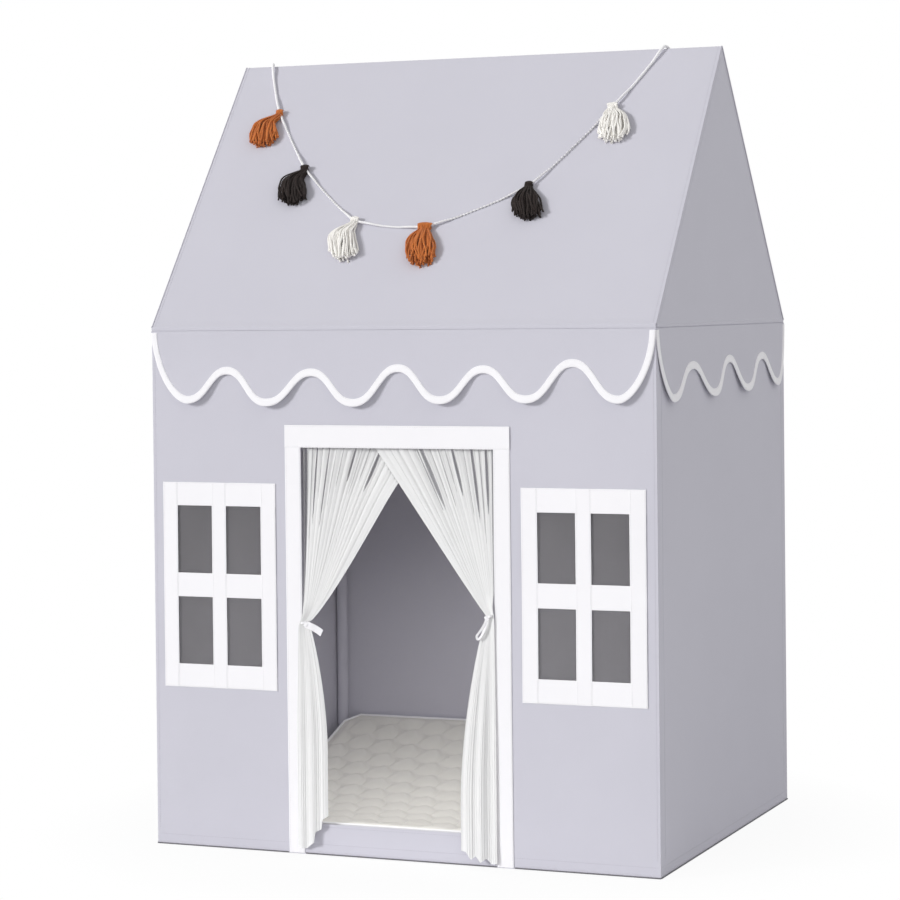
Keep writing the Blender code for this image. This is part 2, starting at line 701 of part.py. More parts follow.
def add_cord(line, material):
    curve = bpy.data.curves.new("garland_cord", "CURVE")
    curve.dimensions = "3D"
    curve.bevel_depth = CORD_DIAMETER / 2
    curve.bevel_resolution = 2
    curve.use_fill_caps = True
    spline = curve.splines.new("POLY")
    spline.points.add(len(line) - 1)
    for point, place in zip(spline.points, line):
        point.co = (*place, 1)
    curve.materials.append(material)
    cord = bpy.data.objects.new("garland_cord", curve)
    bpy.context.scene.collection.objects.link(cord)


def add_tassel(name, place, along, lean, material):
    """A flat bundle of yarn under an eye that the cord runs through."""
    body = (ROOF_DOWN + RIGHT * lean).normalized()
    wide = ROOF_OUT.cross(body)
    half_eye = along * TASSEL_EYE_LENGTH / 2
    eye = rod(place - half_eye, place + half_eye, EYE_RADIUS)
    piece = add_piece(name, eye, material, origin=place)

    rings = []
    for length_share, width_share, depth_share in TASSEL_SHARES:
        half_width = TASSEL_WIDTH / 2 * width_share
        half_depth = TASSEL_THICKNESS / 2 * depth_share
        base = place - ROOF_OUT * (EYE_RADIUS - half_depth) + body * TASSEL_LENGTH * length_share
        ring = []
        for i in range(TASSEL_SIDES):
            angle = 2 * math.pi * (i + 0.5) / TASSEL_SIDES
            across = wide * half_width * math.cos(angle)
            ring.append(base + across + ROOF_OUT * half_depth * math.sin(angle))
        rings.append(ring)
    combine(piece, [add_piece("yarn", skin(rings), material)], "UNION")
    reach = along * (TASSEL_LENGTH / 2)
    bore = rod(place - reach, place + reach, TASSEL_BORE)
    combine(piece, [add_piece("bore", bore, material)], "DIFFERENCE")


def main():
    clear_scene()
    canvas = make_material("grey_canvas", (0.62, 0.62, 0.68), 0.9)
    white = make_material("white_cotton", (0.88, 0.88, 0.88), 0.85)
    voile = make_material("white_voile", (0.82, 0.83, 0.80), 0.8)
    net = make_material("grey_net", (0.1, 0.1, 0.11), 0.9)
    quilt = make_material("cream_quilt", (0.78, 0.75, 0.68), 0.9)
    tube = make_material("white_tube", (0.8, 0.8, 0.8), 0.4)
    joint = make_material("white_moulding", (0.7, 0.7, 0.7), 0.45)
    rust = make_material("rust_yarn", (0.55, 0.19, 0.06), 0.95)
    black = make_material("black_yarn", (0.02, 0.018, 0.017), 0.95)
    cream = make_material("cream_yarn", (0.8, 0.76, 0.68), 0.95)

    add_frame(tube, joint)
    add_sleeves(canvas)
    add_walls(canvas)
    add_roof(canvas)
    add_trims(white, net)
    add_valances(canvas)
    for side, sx in SIDES.items():
        add_curtain(f"curtain_{side}", sx, side == "right", voile)
        add_tie(f"curtain_tie_{side}", sx, white)
    add_mat(quilt)
    line, hangers = cord_line()
    add_cord(line, white)
    yarns = [rust, black, cream, rust, black, cream]
    for k, ((place, along), lean, yarn) in enumerate(zip(hangers, TASSEL_LEANS, yarns)):
        add_tassel(f"tassel_{k + 1}", place, along, lean, yarn)
    length = sum((b - a).length for a, b in zip(line, line[1:]))
    print("garland cord length", round(length, 4))


main()
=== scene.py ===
# %% [markdown]
# # A kids play tent, dressed over its CAD model
#
# The tent is a small house of cotton canvas on a frame of plastic tubes. Its CAD model gives every
# part's place, in metres, with the door facing -Y. This file gives the cloth, yarn and stitching
# that a shopper sees. Each cell makes one piece, says what it is on the real tent, and why it is
# made this way.

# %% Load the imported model
import math
import random
from contextlib import contextmanager

import bmesh
import bpy
from mathutils import Matrix, Vector, noise


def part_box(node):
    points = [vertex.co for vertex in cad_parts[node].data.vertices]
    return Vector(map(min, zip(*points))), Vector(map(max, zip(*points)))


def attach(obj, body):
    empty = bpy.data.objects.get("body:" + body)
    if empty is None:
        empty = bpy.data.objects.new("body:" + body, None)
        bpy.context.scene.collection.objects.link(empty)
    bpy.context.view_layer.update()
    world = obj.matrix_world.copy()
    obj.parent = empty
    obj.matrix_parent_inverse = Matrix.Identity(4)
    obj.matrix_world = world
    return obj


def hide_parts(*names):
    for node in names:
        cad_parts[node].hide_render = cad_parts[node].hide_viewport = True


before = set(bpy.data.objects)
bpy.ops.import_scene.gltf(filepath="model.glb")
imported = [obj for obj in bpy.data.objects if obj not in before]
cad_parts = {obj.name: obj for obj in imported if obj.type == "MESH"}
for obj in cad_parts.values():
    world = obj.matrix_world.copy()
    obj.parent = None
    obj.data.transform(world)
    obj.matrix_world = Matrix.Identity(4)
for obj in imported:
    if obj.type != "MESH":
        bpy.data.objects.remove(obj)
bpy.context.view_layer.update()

# %% [markdown]
# ## Sizes
#
# The cloth pieces repeat the sizes of the solids that they stand for, so that a seam in this file
# falls on the same line as in the CAD model. Angles follow from the heights, so nothing has to be
# measured twice.

# %% Sizes of the tent
WIDTH, DEPTH = 0.914, 0.762
EAVE, RIDGE = 0.894, 1.372
GAP = 0.0003
CANVAS = 0.0016
TAPE = 0.0012
SEAM_HEIGHT = 0.888
HALF_X, HALF_Y = WIDTH / 2, DEPTH / 2
SLOPE = math.atan2(RIDGE - EAVE, HALF_Y)
SLOPE_RUN = math.hypot(RIDGE - EAVE, HALF_Y)
UP, RIGHT, FRONT = Vector((0, 0, 1)), Vector((1, 0, 0)), Vector((0, -1, 0))
ROOF_OUT = Vector((0, -math.sin(SLOPE), math.cos(SLOPE)))
ROOF_DOWN = Vector((0, -math.cos(SLOPE), -math.sin(SLOPE)))
SIDES = {"left": -1, "right": 1}
ENDS = {"front": -1, "back": 1}
print("roof slope", round(math.degrees(SLOPE), 2), "degrees,", round(SLOPE_RUN, 4), "m long")

# %% [markdown]
# ## Small formulas
#
# Cloth has few hard corners, so most shapes below ease from one value to another. Modifiers could
# bend them, but their numbers would be spread over many panels. So a few plain functions serve every
# cell: a smooth step, a value read between marks, even steps, and the direction of a row of places.

# %% Small formulas
def ease(share):
    """A smooth step from 0 to 1."""
    share = min(max(share, 0.0), 1.0)
    return share * share * (3 - 2 * share)


def between(points, x):
    """The value at x on straight lines through the points, whose x values rise."""
    for (x0, y0), (x1, y1) in zip(points, points[1:]):
        if x <= x1:
            return y0 + (y1 - y0) * (x - x0) / (x1 - x0)
    return points[-1][1]


def stops(marks, step):
    """Values from the first mark to the last through each mark, no further apart than a step."""
    values = [marks[0]]
    for a, b in zip(marks, marks[1:]):
        count = max(1, math.ceil((b - a) / step - 1e-6))
        values += [a + (b - a) * i / count for i in range(1, count + 1)]
    return values


def places_between(start, end, count):
    """Places from the start towards the end in equal steps, without the end itself."""
    return [tuple(a + (b - a) * i / count for a, b in zip(start, end)) for i in range(count)]


def heading(row, k):
    """The direction of a row of places at one of them, as a unit vector."""
    return (Vector(row[min(k + 1, len(row) - 1)]) - Vector(row[max(k - 1, 0)])).normalized()


print("a third of the way a smooth step is at", round(ease(1 / 3), 3))

# %% [markdown]
# ## Camera
#
# The photograph was taken with a long lens from the right of the door, at about two thirds of the
# tent's height. The camera is placed by its eye point, heading and pitch, with a slight roll. A
# small downward shift keeps the walls' upright lines parallel, as a product photographer's does.

# %% Camera
EYE = Vector((1.843, -4.634, 0.934))
HEADING, PITCH, ROLL = math.radians(-22.29), math.radians(-1.0), math.radians(-0.6)
ahead = Vector((math.sin(HEADING) * math.cos(PITCH), math.cos(HEADING) * math.cos(PITCH), math.sin(PITCH)))
level = Vector((math.cos(HEADING), -math.sin(HEADING), 0))
upright = level.cross(ahead)
across = level * math.cos(ROLL) + upright * math.sin(ROLL)
upright = upright * math.cos(ROLL) - level * math.sin(ROLL)
lens = bpy.data.cameras.new("camera")
lens.sensor_width = 36
lens.lens = 111.2
lens.shift_y = -0.111
camera = bpy.data.objects.new("camera", lens)
camera.matrix_world = Matrix.Translation(EYE) @ Matrix((across, upright, -ahead)).transposed().to_4x4()
bpy.context.scene.collection.objects.link(camera)
bpy.context.scene.camera = camera
print("camera", round(EYE.length, 2), "m from the tent's foot")

# %% [markdown]
# ## Helpers for nodes
#
# Materials and Geometry Nodes are both trees of nodes. They could be drawn by hand in the editor, but
# a script can be read and run again. One helper adds a node, sets its options and fills its sockets
# from values or from other nodes, so each tree below reads as a short list.

# %% Node helpers
def add(tree, kind, sockets=None, **options):
    """Adds a node, and gives each named socket a value or a link from another node's socket."""
    node = tree.nodes.new(kind)
    for name, value in options.items():
        setattr(node, name, value)
    for name, value in (sockets or {}).items():
        if isinstance(value, bpy.types.NodeSocket):
            tree.links.new(value, node.inputs[name])
        else:
            node.inputs[name].default_value = value
    return node


def calc(tree, operation, *values):
    """One Math node, as the socket of its result."""
    return add(tree, "ShaderNodeMath", dict(enumerate(values)), operation=operation).outputs[0]


# %% [markdown]
# ## Thread along paths
#
# Cord, yarn, piping and net strands are all a small round section that follows a path. On the real
# things the section is lobed, because the thread is twisted from plies. Modelling each by hand would
# take thousands of points, so a Geometry Nodes tree sweeps one lobed section along every path and
# turns it as it goes. The paths come from code, as plain edges.

# %% Geometry Nodes: a thread along each path
def new_tree(name, sockets):
    tree = bpy.data.node_groups.new(name, "GeometryNodeTree")
    tree.interface.new_socket("Paths", in_out="INPUT", socket_type="NodeSocketGeometry")
    for label, kind in sockets:
        tree.interface.new_socket(label, in_out="INPUT", socket_type="NodeSocket" + kind)
    tree.interface.new_socket("Result", in_out="OUTPUT", socket_type="NodeSocketGeometry")
    return tree, tree.nodes.new("NodeGroupInput").outputs


def end_tree(tree, geometry, material):
    """Makes instances real and gives them their material, so that the result is one plain mesh."""
    real = add(tree, "GeometryNodeRealizeInstances", {"Geometry": geometry})
    dyed = add(tree, "GeometryNodeSetMaterial", {"Geometry": real.outputs[0], "Material": material})
    add(tree, "NodeGroupOutput", {"Result": dyed.outputs[0]})


def thread_tree():
    sizes = [("Radius", "Float"), ("Lobes", "Float"), ("Lobe depth", "Float"), ("Turn length", "Float")]
    tree, given = new_tree("Thread along paths", sizes + [("Sides", "Int"), ("Material", "Material")])
    path = add(tree, "GeometryNodeMeshToCurve", {"Mesh": given["Paths"]}).outputs[0]
    length = add(tree, "GeometryNodeSplineParameter").outputs["Length"]
    turns = calc(tree, "DIVIDE", length, given["Turn length"])
    tilt = calc(tree, "MULTIPLY", turns, 2 * math.pi)
    path = add(tree, "GeometryNodeSetCurveTilt", {"Curve": path, "Tilt": tilt}).outputs[0]
    ring = {"Resolution": given["Sides"], "Radius": given["Radius"]}
    ring = add(tree, "GeometryNodeCurvePrimitiveCircle", ring).outputs[0]
    place = add(tree, "GeometryNodeInputPosition").outputs[0]
    parts = add(tree, "ShaderNodeSeparateXYZ", {0: place}).outputs
    angle = calc(tree, "ARCTAN2", parts[1], parts[0])
    wave = calc(tree, "COSINE", calc(tree, "MULTIPLY", angle, given["Lobes"]))
    swell = calc(tree, "MULTIPLY_ADD", wave, given["Lobe depth"], 1.0)
    lobed = add(tree, "ShaderNodeVectorMath", {0: place, "Scale": swell}, operation="SCALE").outputs[0]
    ring = add(tree, "GeometryNodeSetPosition", {"Geometry": ring, "Position": lobed}).outputs[0]
    radius = add(tree, "GeometryNodeInputRadius").outputs[0]
    sweep = {"Curve": path, "Profile Curve": ring, "Scale": radius, "Fill Caps": True}
    swept = add(tree, "GeometryNodeCurveToMesh", sweep).outputs[0]
    smooth = add(tree, "GeometryNodeSetShadeSmooth", {"Geometry": swept}).outputs[0]
    end_tree(tree, smooth, given["Material"])
    return tree


THREAD = thread_tree()
print(THREAD.name, "has", len(THREAD.nodes), "nodes")

# %% [markdown]
# ## Stitches along paths
#
# A seam on the tent shows as a row of short stitches, a few millimetres each. There are thousands of
# them, so they are instances of one small bead of twenty faces, spaced along a path and turned to its
# direction. They are made real at the end, because an exported model has no instances.

# %% Geometry Nodes: stitches along each path
def stitch_tree():
    sizes = [("Pitch", "Float"), ("Stitch length", "Float"), ("Thickness", "Float")]
    tree, given = new_tree("Stitches along paths", sizes + [("Material", "Material")])
    path = add(tree, "GeometryNodeMeshToCurve", {"Mesh": given["Paths"]}).outputs[0]
    spaced = {"Curve": path, "Length": given["Pitch"]}
    spaced = add(tree, "GeometryNodeResampleCurve", spaced, mode="LENGTH").outputs[0]
    bead = add(tree, "GeometryNodeMeshIcoSphere", {"Radius": 0.5, "Subdivisions": 1}).outputs[0]
    size = {"X": given["Thickness"], "Y": given["Thickness"], "Z": given["Stitch length"]}
    size = add(tree, "ShaderNodeCombineXYZ", size).outputs[0]
    bead = add(tree, "GeometryNodeTransform", {"Geometry": bead, "Scale": size}).outputs[0]
    tangent = add(tree, "GeometryNodeInputTangent").outputs[0]
    turn = add(tree, "FunctionNodeAlignRotationToVector", {"Vector": tangent}, axis="Z").outputs[0]
    row = {"Points": spaced, "Instance": bead, "Rotation": turn}
    row = add(tree, "GeometryNodeInstanceOnPoints", row).outputs[0]
    end_tree(tree, row, given["Material"])
    return tree


STITCHES = stitch_tree()
print(STITCHES.name, "has", len(STITCHES.nodes), "nodes")

# %% [markdown]
# ## From paths to a plain mesh
#
# A piece of the tent ends as one plain mesh at the origin, which rides on a body and stands for its
# CAD solids. A node tree could stay live on it, but then every copy would depend on the modifier. So
# the tree runs on a scratch object that holds the paths, its result is kept, and the scratch object
# goes.

# %% Piece helpers
def new_piece(name, mesh, finish=None):
    if finish:
        mesh.materials.clear()
        mesh.materials.append(finish)
    piece = bpy.data.objects.new(name, mesh)
    bpy.context.scene.collection.objects.link(piece)
    return piece


def keep(bm, name, finish):
    """A new piece from an edit mesh."""
    mesh = bpy.data.meshes.new(name)
    bm.to_mesh(mesh)
    bm.free()
    return new_piece(name, mesh, finish)


@contextmanager
def edited(piece):
    """Opens a piece's mesh for editing, and writes it back at the end of the block."""
    bm = bmesh.new()
    bm.from_mesh(piece.data)
    yield bm
    bm.to_mesh(piece.data)
    bm.free()


def settle(piece, body, *nodes, slot):
    """A piece rides on its body and stands for its CAD nodes, which it hides. The slot is not used."""
    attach(piece, body)
    if nodes:
        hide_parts(*nodes)


def grow(name, tree, paths, values, radii=None, closed=False):
    """Runs a node tree on paths of points and keeps the result as a plain mesh."""
    points, edges = [], []
    for path in paths:
        first = len(points)
        points += path
        edges += [(k, k + 1) for k in range(first, len(points) - 1)]
        if closed:
            edges.append((len(points) - 1, first))
    mesh = bpy.data.meshes.new(name)
    mesh.from_pydata(points, edges, [])
    scales = mesh.attributes.new("radius", "FLOAT", "POINT").data
    scales.foreach_set("value", radii or [1.0] * len(points))
    scratch = new_piece(name + "_paths", mesh)
    step = scratch.modifiers.new("Grow", "NODES")
    step.node_group = tree
    for item in tree.interface.items_tree:
        if item.name in values:
            step[item.identifier] = values[item.name]
    graph = bpy.context.evaluated_depsgraph_get()
    made = bpy.data.meshes.new_from_object(scratch.evaluated_get(graph))
    made.name = name
    bpy.data.objects.remove(scratch)
    return new_piece(name, made)


def thread(name, paths, finish, radius, lobes=2, depth=0.0, turn=0.0, sides=8, radii=None, closed=False):
    values = {"Radius": radius, "Lobes": float(lobes), "Lobe depth": depth, "Turn length": turn}
    values |= {"Sides": sides, "Material": finish}
    return grow(name, THREAD, paths, values, radii, closed)


def stitches(name, paths, finish, closed=False, pitch=0.0042, length=0.0032, thickness=0.0007):
    values = {"Pitch": pitch, "Stitch length": length, "Thickness": thickness, "Material": finish}
    return grow(name, STITCHES, paths, values, closed=closed)


# %% [markdown]
# ## Cotton canvas and tape
#
# The cover is plain-woven cotton in a pale lavender grey, and the trims are the same cloth in white.
# A picture of cloth would repeat and blur, so the weave is made from two crossed sine waves on each
# piece's own cloth coordinates, in metres, with a thread about every 0.9 mm. A slow noise varies the
# dye, and a fine one breaks up the threads. The weave moves the surface normal a little.

# %% Woven cloth finish
def new_finish(name, roughness, sheen):
    material = bpy.data.materials.new(name)
    material.use_nodes = True
    shader = material.node_tree.nodes["Principled BSDF"]
    shader.inputs["Roughness"].default_value = roughness
    shader.inputs["Specular IOR Level"].default_value = 0.25
    shader.inputs["Sheen Weight"].default_value = sheen
    return material, material.node_tree, shader


def speckle(tree, scale, detail=2.0):
    """Noise over the tent's own coordinates, from 0 to 1."""
    place = add(tree, "ShaderNodeTexCoord").outputs["Object"]
    sockets = {"Vector": place, "Scale": scale, "Detail": detail}
    return add(tree, "ShaderNodeTexNoise", sockets).outputs["Fac"]


def tint(tree, shader, light, dark, share):
    """Colours the shader between two dyes by a share from 0 to 1."""
    dyes = {0: share, 6: (*dark, 1), 7: (*light, 1)}
    mixed = add(tree, "ShaderNodeMix", dyes, data_type="RGBA").outputs[2]
    tree.links.new(mixed, shader.inputs["Base Color"])


def raise_threads(tree, shader, height, strength, distance):
    sockets = {"Height": height, "Strength": strength, "Distance": distance}
    tree.links.new(add(tree, "ShaderNodeBump", sockets).outputs[0], shader.inputs["Normal"])


def weave(tree, pitch):
    """The height of a plain weave on the cloth's own coordinates, about 0 to 1."""
    cloth = add(tree, "ShaderNodeUVMap", uv_map="Cloth").outputs[0]
    parts = add(tree, "ShaderNodeSeparateXYZ", {0: cloth}).outputs
    waves = [calc(tree, "SINE", calc(tree, "MULTIPLY", part, math.pi / pitch)) for part in parts[:2]]
    return calc(tree, "MULTIPLY_ADD", calc(tree, "MULTIPLY", *waves), 0.5, 0.5)


def woven_finish(name, light, dark, pitch=0.0009, sheen=0.15):
    material, tree, shader = new_finish(name, 0.92, sheen)
    threads = weave(tree, pitch)
    fibres = calc(tree, "MULTIPLY", speckle(tree, 1400.0), 0.5)
    dye = calc(tree, "MULTIPLY", speckle(tree, 7.0, 3.0), 0.5)
    share = calc(tree, "ADD", dye, calc(tree, "MULTIPLY_ADD", threads, 0.25, fibres))
    tint(tree, shader, light, dark, share)
    raise_threads(tree, shader, calc(tree, "ADD", threads, fibres), 0.35, 0.0003)
    return material


canvas_grey = woven_finish("lavender_grey_canvas", (0.645, 0.636, 0.706), (0.592, 0.583, 0.651))
cotton_white = woven_finish("white_cotton_tape", (0.985, 0.975, 1.0), (0.94, 0.93, 0.955), 0.0007)
print("cloths:", canvas_grey.name, cotton_white.name)

# %% [markdown]
# ## Yarn and sewing thread
#
# Yarn is fuzzy and matt, and each strand takes the dye a little differently. Hair would be too much
# for strands this thick, so the fuzz is in the finish. A random value for each separate strand and a
# coarse noise vary the dye, and a fine noise along the fibres roughens the surface.

# %% Yarn finish
def yarn_finish(name, light, dark, relief=0.5, sheen=0.2):
    material, tree, shader = new_finish(name, 0.95, sheen)
    strands = speckle(tree, 160.0)
    fibres = speckle(tree, 2600.0, 3.0)
    own = add(tree, "ShaderNodeNewGeometry").outputs["Random Per Island"]
    mixed = calc(tree, "MULTIPLY_ADD", fibres, 0.4, calc(tree, "MULTIPLY", strands, 0.3))
    mixed = calc(tree, "MULTIPLY_ADD", own, 0.35, mixed)
    tint(tree, shader, light, dark, mixed)
    raise_threads(tree, shader, fibres, relief, 0.0004)
    return material


rust_yarn = yarn_finish("rust_yarn", (0.80, 0.255, 0.055), (0.36, 0.090, 0.022))
black_yarn = yarn_finish("near_black_yarn", (0.040, 0.027, 0.024), (0.010, 0.007, 0.006), sheen=0.12)
cream_yarn = yarn_finish("cream_yarn", (1.0, 0.985, 0.95), (0.98, 0.95, 0.905))
cord_white = yarn_finish("white_cord", (1.0, 0.99, 1.0), (0.95, 0.945, 0.965), 0.15)
thread_grey = yarn_finish("grey_sewing_thread", (0.56, 0.55, 0.61), (0.44, 0.43, 0.49), 0.2)
canvas_grey_plain = yarn_finish("grey_seam_cloth", (0.60, 0.59, 0.655), (0.55, 0.54, 0.605), 0.2)
# Dark grey for the thread that paints the shadow line along the foot of the walls.
foot_shadow_thread = yarn_finish("painted_foot_shadow_thread", (0.20, 0.195, 0.215), (0.13, 0.125, 0.14), 0.2)
thread_white = yarn_finish("white_sewing_thread", (0.90, 0.89, 0.91), (0.74, 0.73, 0.76), 0.2)
print("yarns:", rust_yarn.name, black_yarn.name, cream_yarn.name)

# %% [markdown]
# ## The garland's cord
#
# A white cotton cord hangs in a wide U over the front of the roof. Both ends go over the ridge and
# are sewn down behind it, so its length is the line between the two seams. It lies on the canvas and
# rises a little where it runs through a tassel's head. A soft cord can't fold sharply, so it goes
# over the ridge in an arc of 9 mm. The route is the CAD model's own, drawn as one smooth curve that
# is straighter between the tassels, where their weight pulls it taut.

# %% The cord's route over the roof
CORD = 0.005
CORD_HEIGHT = CORD / 2 + GAP
EYE_RADIUS = 0.0056
ROUTE = [
    (-0.420, 0.656), (-0.412, 0.634), (-0.403, 0.6145), (-0.397, 0.595), (-0.389, 0.5715),
    (-0.351, 0.487), (-0.262, 0.351), (-0.132, 0.228), (0.004, 0.211), (0.174, 0.298),
    (0.288, 0.472), (0.338, 0.5735), (0.347, 0.595), (0.355, 0.6145), (0.364, 0.634), (0.373, 0.656),
]
TASSEL_AT = (5, 6, 7, 8, 9, 10)
HEAD_RUN, RISE_RUN, TAUT = 0.026, 0.03, 0.42
RIDGE_BEND = 0.009
RIDGE_ARC = 2 * SLOPE * RIDGE_BEND
RIDGE_SINK = RIDGE_BEND - CORD_HEIGHT
RIDGE_LIFT = RIDGE_BEND - RIDGE_SINK * math.cos(SLOPE)
RIDGE_START = SLOPE_RUN - RIDGE_SINK * math.sin(SLOPE)


def over_roof(x, run, height):
    """A point over the roof: a distance up the front slope, round the ridge and down again."""
    tilt = min(max((run - RIDGE_START) / RIDGE_BEND, 0), 2 * SLOPE) - SLOPE
    radius = RIDGE_BEND + height - RIDGE_LIFT
    point = Vector((x, radius * math.sin(tilt), RIDGE - RIDGE_SINK + radius * math.cos(tilt)))
    point += ROOF_DOWN * max(RIDGE_START - run, 0)
    return point + Vector((0, math.cos(SLOPE), -math.sin(SLOPE))) * max(run - RIDGE_START - RIDGE_ARC, 0)


def smooth_route(points, steps=40, taut=()):
    """A smooth curve through points, straighter in the taut spans, and each one's number in it."""
    fine, marks = [], []
    padded = [points[0] * 2 - points[1]] + points + [points[-1] * 2 - points[-2]]
    for k in range(1, len(padded) - 2):
        p0, p1, p2, p3 = padded[k - 1 : k + 3]
        t1, t2, t3 = ((b - a).length ** 0.5 for a, b in ((p0, p1), (p1, p2), (p2, p3)))
        leave = ((p1 - p0) / t1 - (p2 - p0) / (t1 + t2) + (p2 - p1) / t2) * t2
        arrive = ((p2 - p1) / t2 - (p3 - p1) / (t2 + t3) + (p3 - p2) / t3) * t2
        if k - 1 in taut:
            leave, arrive = leave * TAUT, arrive * TAUT
        marks.append(len(fine))
        for i in range(steps):
            s = i / steps
            point = p1 * (2 * s**3 - 3 * s**2 + 1) + leave * (s**3 - 2 * s**2 + s)
            fine.append(point + p2 * (3 * s**2 - 2 * s**3) + arrive * (s**3 - s**2))
    marks.append(len(fine))
    return fine + [points[-1].copy()], marks


def cord_line():
    """The cord's centreline, and the place and direction where each tassel hangs."""
    fine, marks = smooth_route([Vector((x, run, 0)) for x, run in ROUTE], taut=TASSEL_AT[:-1])
    along = [0.0]
    for a, b in zip(fine, fine[1:]):
        along.append(along[-1] + (b - a).length)
    half, top = len(fine) // 2, RIDGE_START + RIDGE_ARC / 2
    halves = (range(half), range(half, len(fine)))
    over = [along[min(span, key=lambda k: abs(fine[k].y - top))] for span in halves]
    hung = [marks[k] for k in TASSEL_AT]
    placed = []
    for point, s in zip(fine, along):
        eye = 1 - ease((min(abs(s - along[m]) for m in hung) - HEAD_RUN) / RISE_RUN)
        bend = 1 - ease((min(abs(s - o) for o in over) - RIDGE_ARC) / RISE_RUN)
        rise = max((EYE_RADIUS + GAP - CORD_HEIGHT) * eye, (RIDGE_LIFT - CORD_HEIGHT) * bend)
        placed.append(over_roof(point.x, point.y, CORD_HEIGHT + rise))
    return placed, [(placed[m], (placed[m + 1] - placed[m - 1]).normalized()) for m in hung]


line, hangers = cord_line()
cord_length = sum((b - a).length for a, b in zip(line, line[1:]))
print("cord", len(line), "points,", round(cord_length, 4), "m")

# %% [markdown]
# ### The twist of the cord
#
# The cord is laid from three strands, which show as fine slanting grooves. A bump map would leave its
# outline plain, so the section has three shallow lobes that turn once in 14 mm.

# %% The twisted cord
garland_cord = thread("cord_of_garland", [line], cord_white, CORD * 0.48, 3, 0.05, 0.014, 18)
settle(garland_cord, "tent", "garland_cord", slot="white_cotton")
print("cord mesh", len(garland_cord.data.polygons), "faces")

# %% [markdown]
# ## Cloth helpers
#
# Each panel of the cover is one sheet. It is laid as a grid over a surface, a function that gives
# the point for a place on the flat cloth, and then gets its thickness inwards. The grid keeps the
# flat place as cloth coordinates, so the weave runs true. Its borders are marked sharp, which keeps
# the shading of the face from bending round the cut edge. Tapes are thicker for their width, so a
# second helper sweeps a closed section along them.

# %% Cloth helpers
def cloth(name, us, vs, surface, thickness, finish, hole=None):
    """A sheet over a surface that gives a point and the flat place of that point."""
    bm = bmesh.new()
    coords = bm.loops.layers.uv.new("Cloth")
    flat, grid = {}, []
    for v in vs:
        grid.append([])
        for u in us:
            point, place = surface(u, v)
            grid[-1].append(bm.verts.new(point))
            flat[grid[-1][-1]] = place
    for j in range(len(vs) - 1):
        for i in range(len(us) - 1):
            if hole and hole((us[i] + us[i + 1]) / 2, (vs[j] + vs[j + 1]) / 2):
                continue
            face = bm.faces.new((grid[j][i], grid[j][i + 1], grid[j + 1][i + 1], grid[j + 1][i]))
            face.smooth = True
            for corner in face.loops:
                corner[coords].uv = flat[corner.vert]
    bmesh.ops.delete(bm, geom=[v for v in bm.verts if not v.link_faces], context="VERTS")
    for edge in bm.edges:
        edge.smooth = len(edge.link_faces) > 1
    piece = keep(bm, name, finish)
    wall = piece.modifiers.new("Thickness", "SOLIDIFY")
    wall.thickness, wall.offset = thickness, -1
    return piece


def sweep(name, runs, finish):
    """Closed strips. A run is a list of rings, and a ring a list of points with flat places."""
    bm = bmesh.new()
    coords = bm.loops.layers.uv.new("Cloth")
    for run in runs:
        loops = [[(bm.verts.new(point), place) for point, place in ring] for ring in run]
        faces = [list(loops[0]), list(loops[-1])]
        for low, high in zip(loops, loops[1:]):
            turns = zip(low, low[1:] + low[:1], high[1:] + high[:1], high)
            faces += [list(corners) for corners in turns]
        for corners in faces:
            face = bm.faces.new([vert for vert, _ in corners])
            face.smooth = True
            for loop, (_, place) in zip(face.loops, corners):
                loop[coords].uv = place
    bmesh.ops.recalc_face_normals(bm, faces=bm.faces)
    piece = keep(bm, name, finish)
    piece.data.set_sharp_from_angle(angle=math.radians(50))
    return piece


print("canvas is", CANVAS, "m thick, and tape", TAPE)

# %% [markdown]
# ## How the canvas swells
#
# Canvas that is laced over a frame is never a flat plate: between the seams it swells by about a
# millimetre. A cloth simulation would do it too, but each panel on its own. Here all the walls, and
# the trims sewn on them, read one function, so that a trim never floats off its wall or sinks in. The
# swell fades out at the seams, where the cloth is tight.

# %% The swell of the walls
def swell(u, v, edge, seed):
    slow = noise.noise(Vector((u * 5.5, v * 5.5, seed)))
    fine = noise.noise(Vector((u * 18, v * 18, seed + 40)))
    return (0.0013 + 0.0011 * slow + 0.0003 * fine) * ease(edge / 0.05)


def wall_surface(out, distance, width, seed):
    """The outer face of an upright wall, as a function of the place on it and a lift off it."""
    sideways = UP.cross(out)

    def surface(u, v, lift=0.0):
        edge = max(min(width / 2 - abs(u), v, EAVE - v), 0)
        return sideways * u + out * (distance + swell(u, v, edge, seed) + lift) + UP * v

    return surface


def with_place(surface):
    return lambda u, v: (surface(u, v), (u, v))


def line_on(surface, start, end, lift, count=None):
    """A row of points between two places on a surface, about 15 mm apart unless a count is given."""
    count = count or max(2, round(math.dist(start, end) / 0.015))
    return [surface(*place, lift) for place in places_between(start, end, count) + [end]]


front = wall_surface(FRONT, HALF_Y, WIDTH, 1)
WALLS = {"front": (FRONT, HALF_Y, WIDTH), "back": (-FRONT, HALF_Y, WIDTH)}
WALLS |= {side: (RIGHT * sx, HALF_X, DEPTH - 2 * CANVAS) for side, sx in SIDES.items()}
print("the front swells by", round(1000 * swell(0.3, 0.2, 1, 1), 2), "mm beside the door")

# %% [markdown]
# ## The four walls
#
# The front has a doorway over a low sill and two windows of four panes, cut out of the one sheet.
# They could be cut with a boolean, which leaves long thin faces. The grid's lines run along every
# opening's edge instead, so the faces inside are just left out and the cut stays clean.

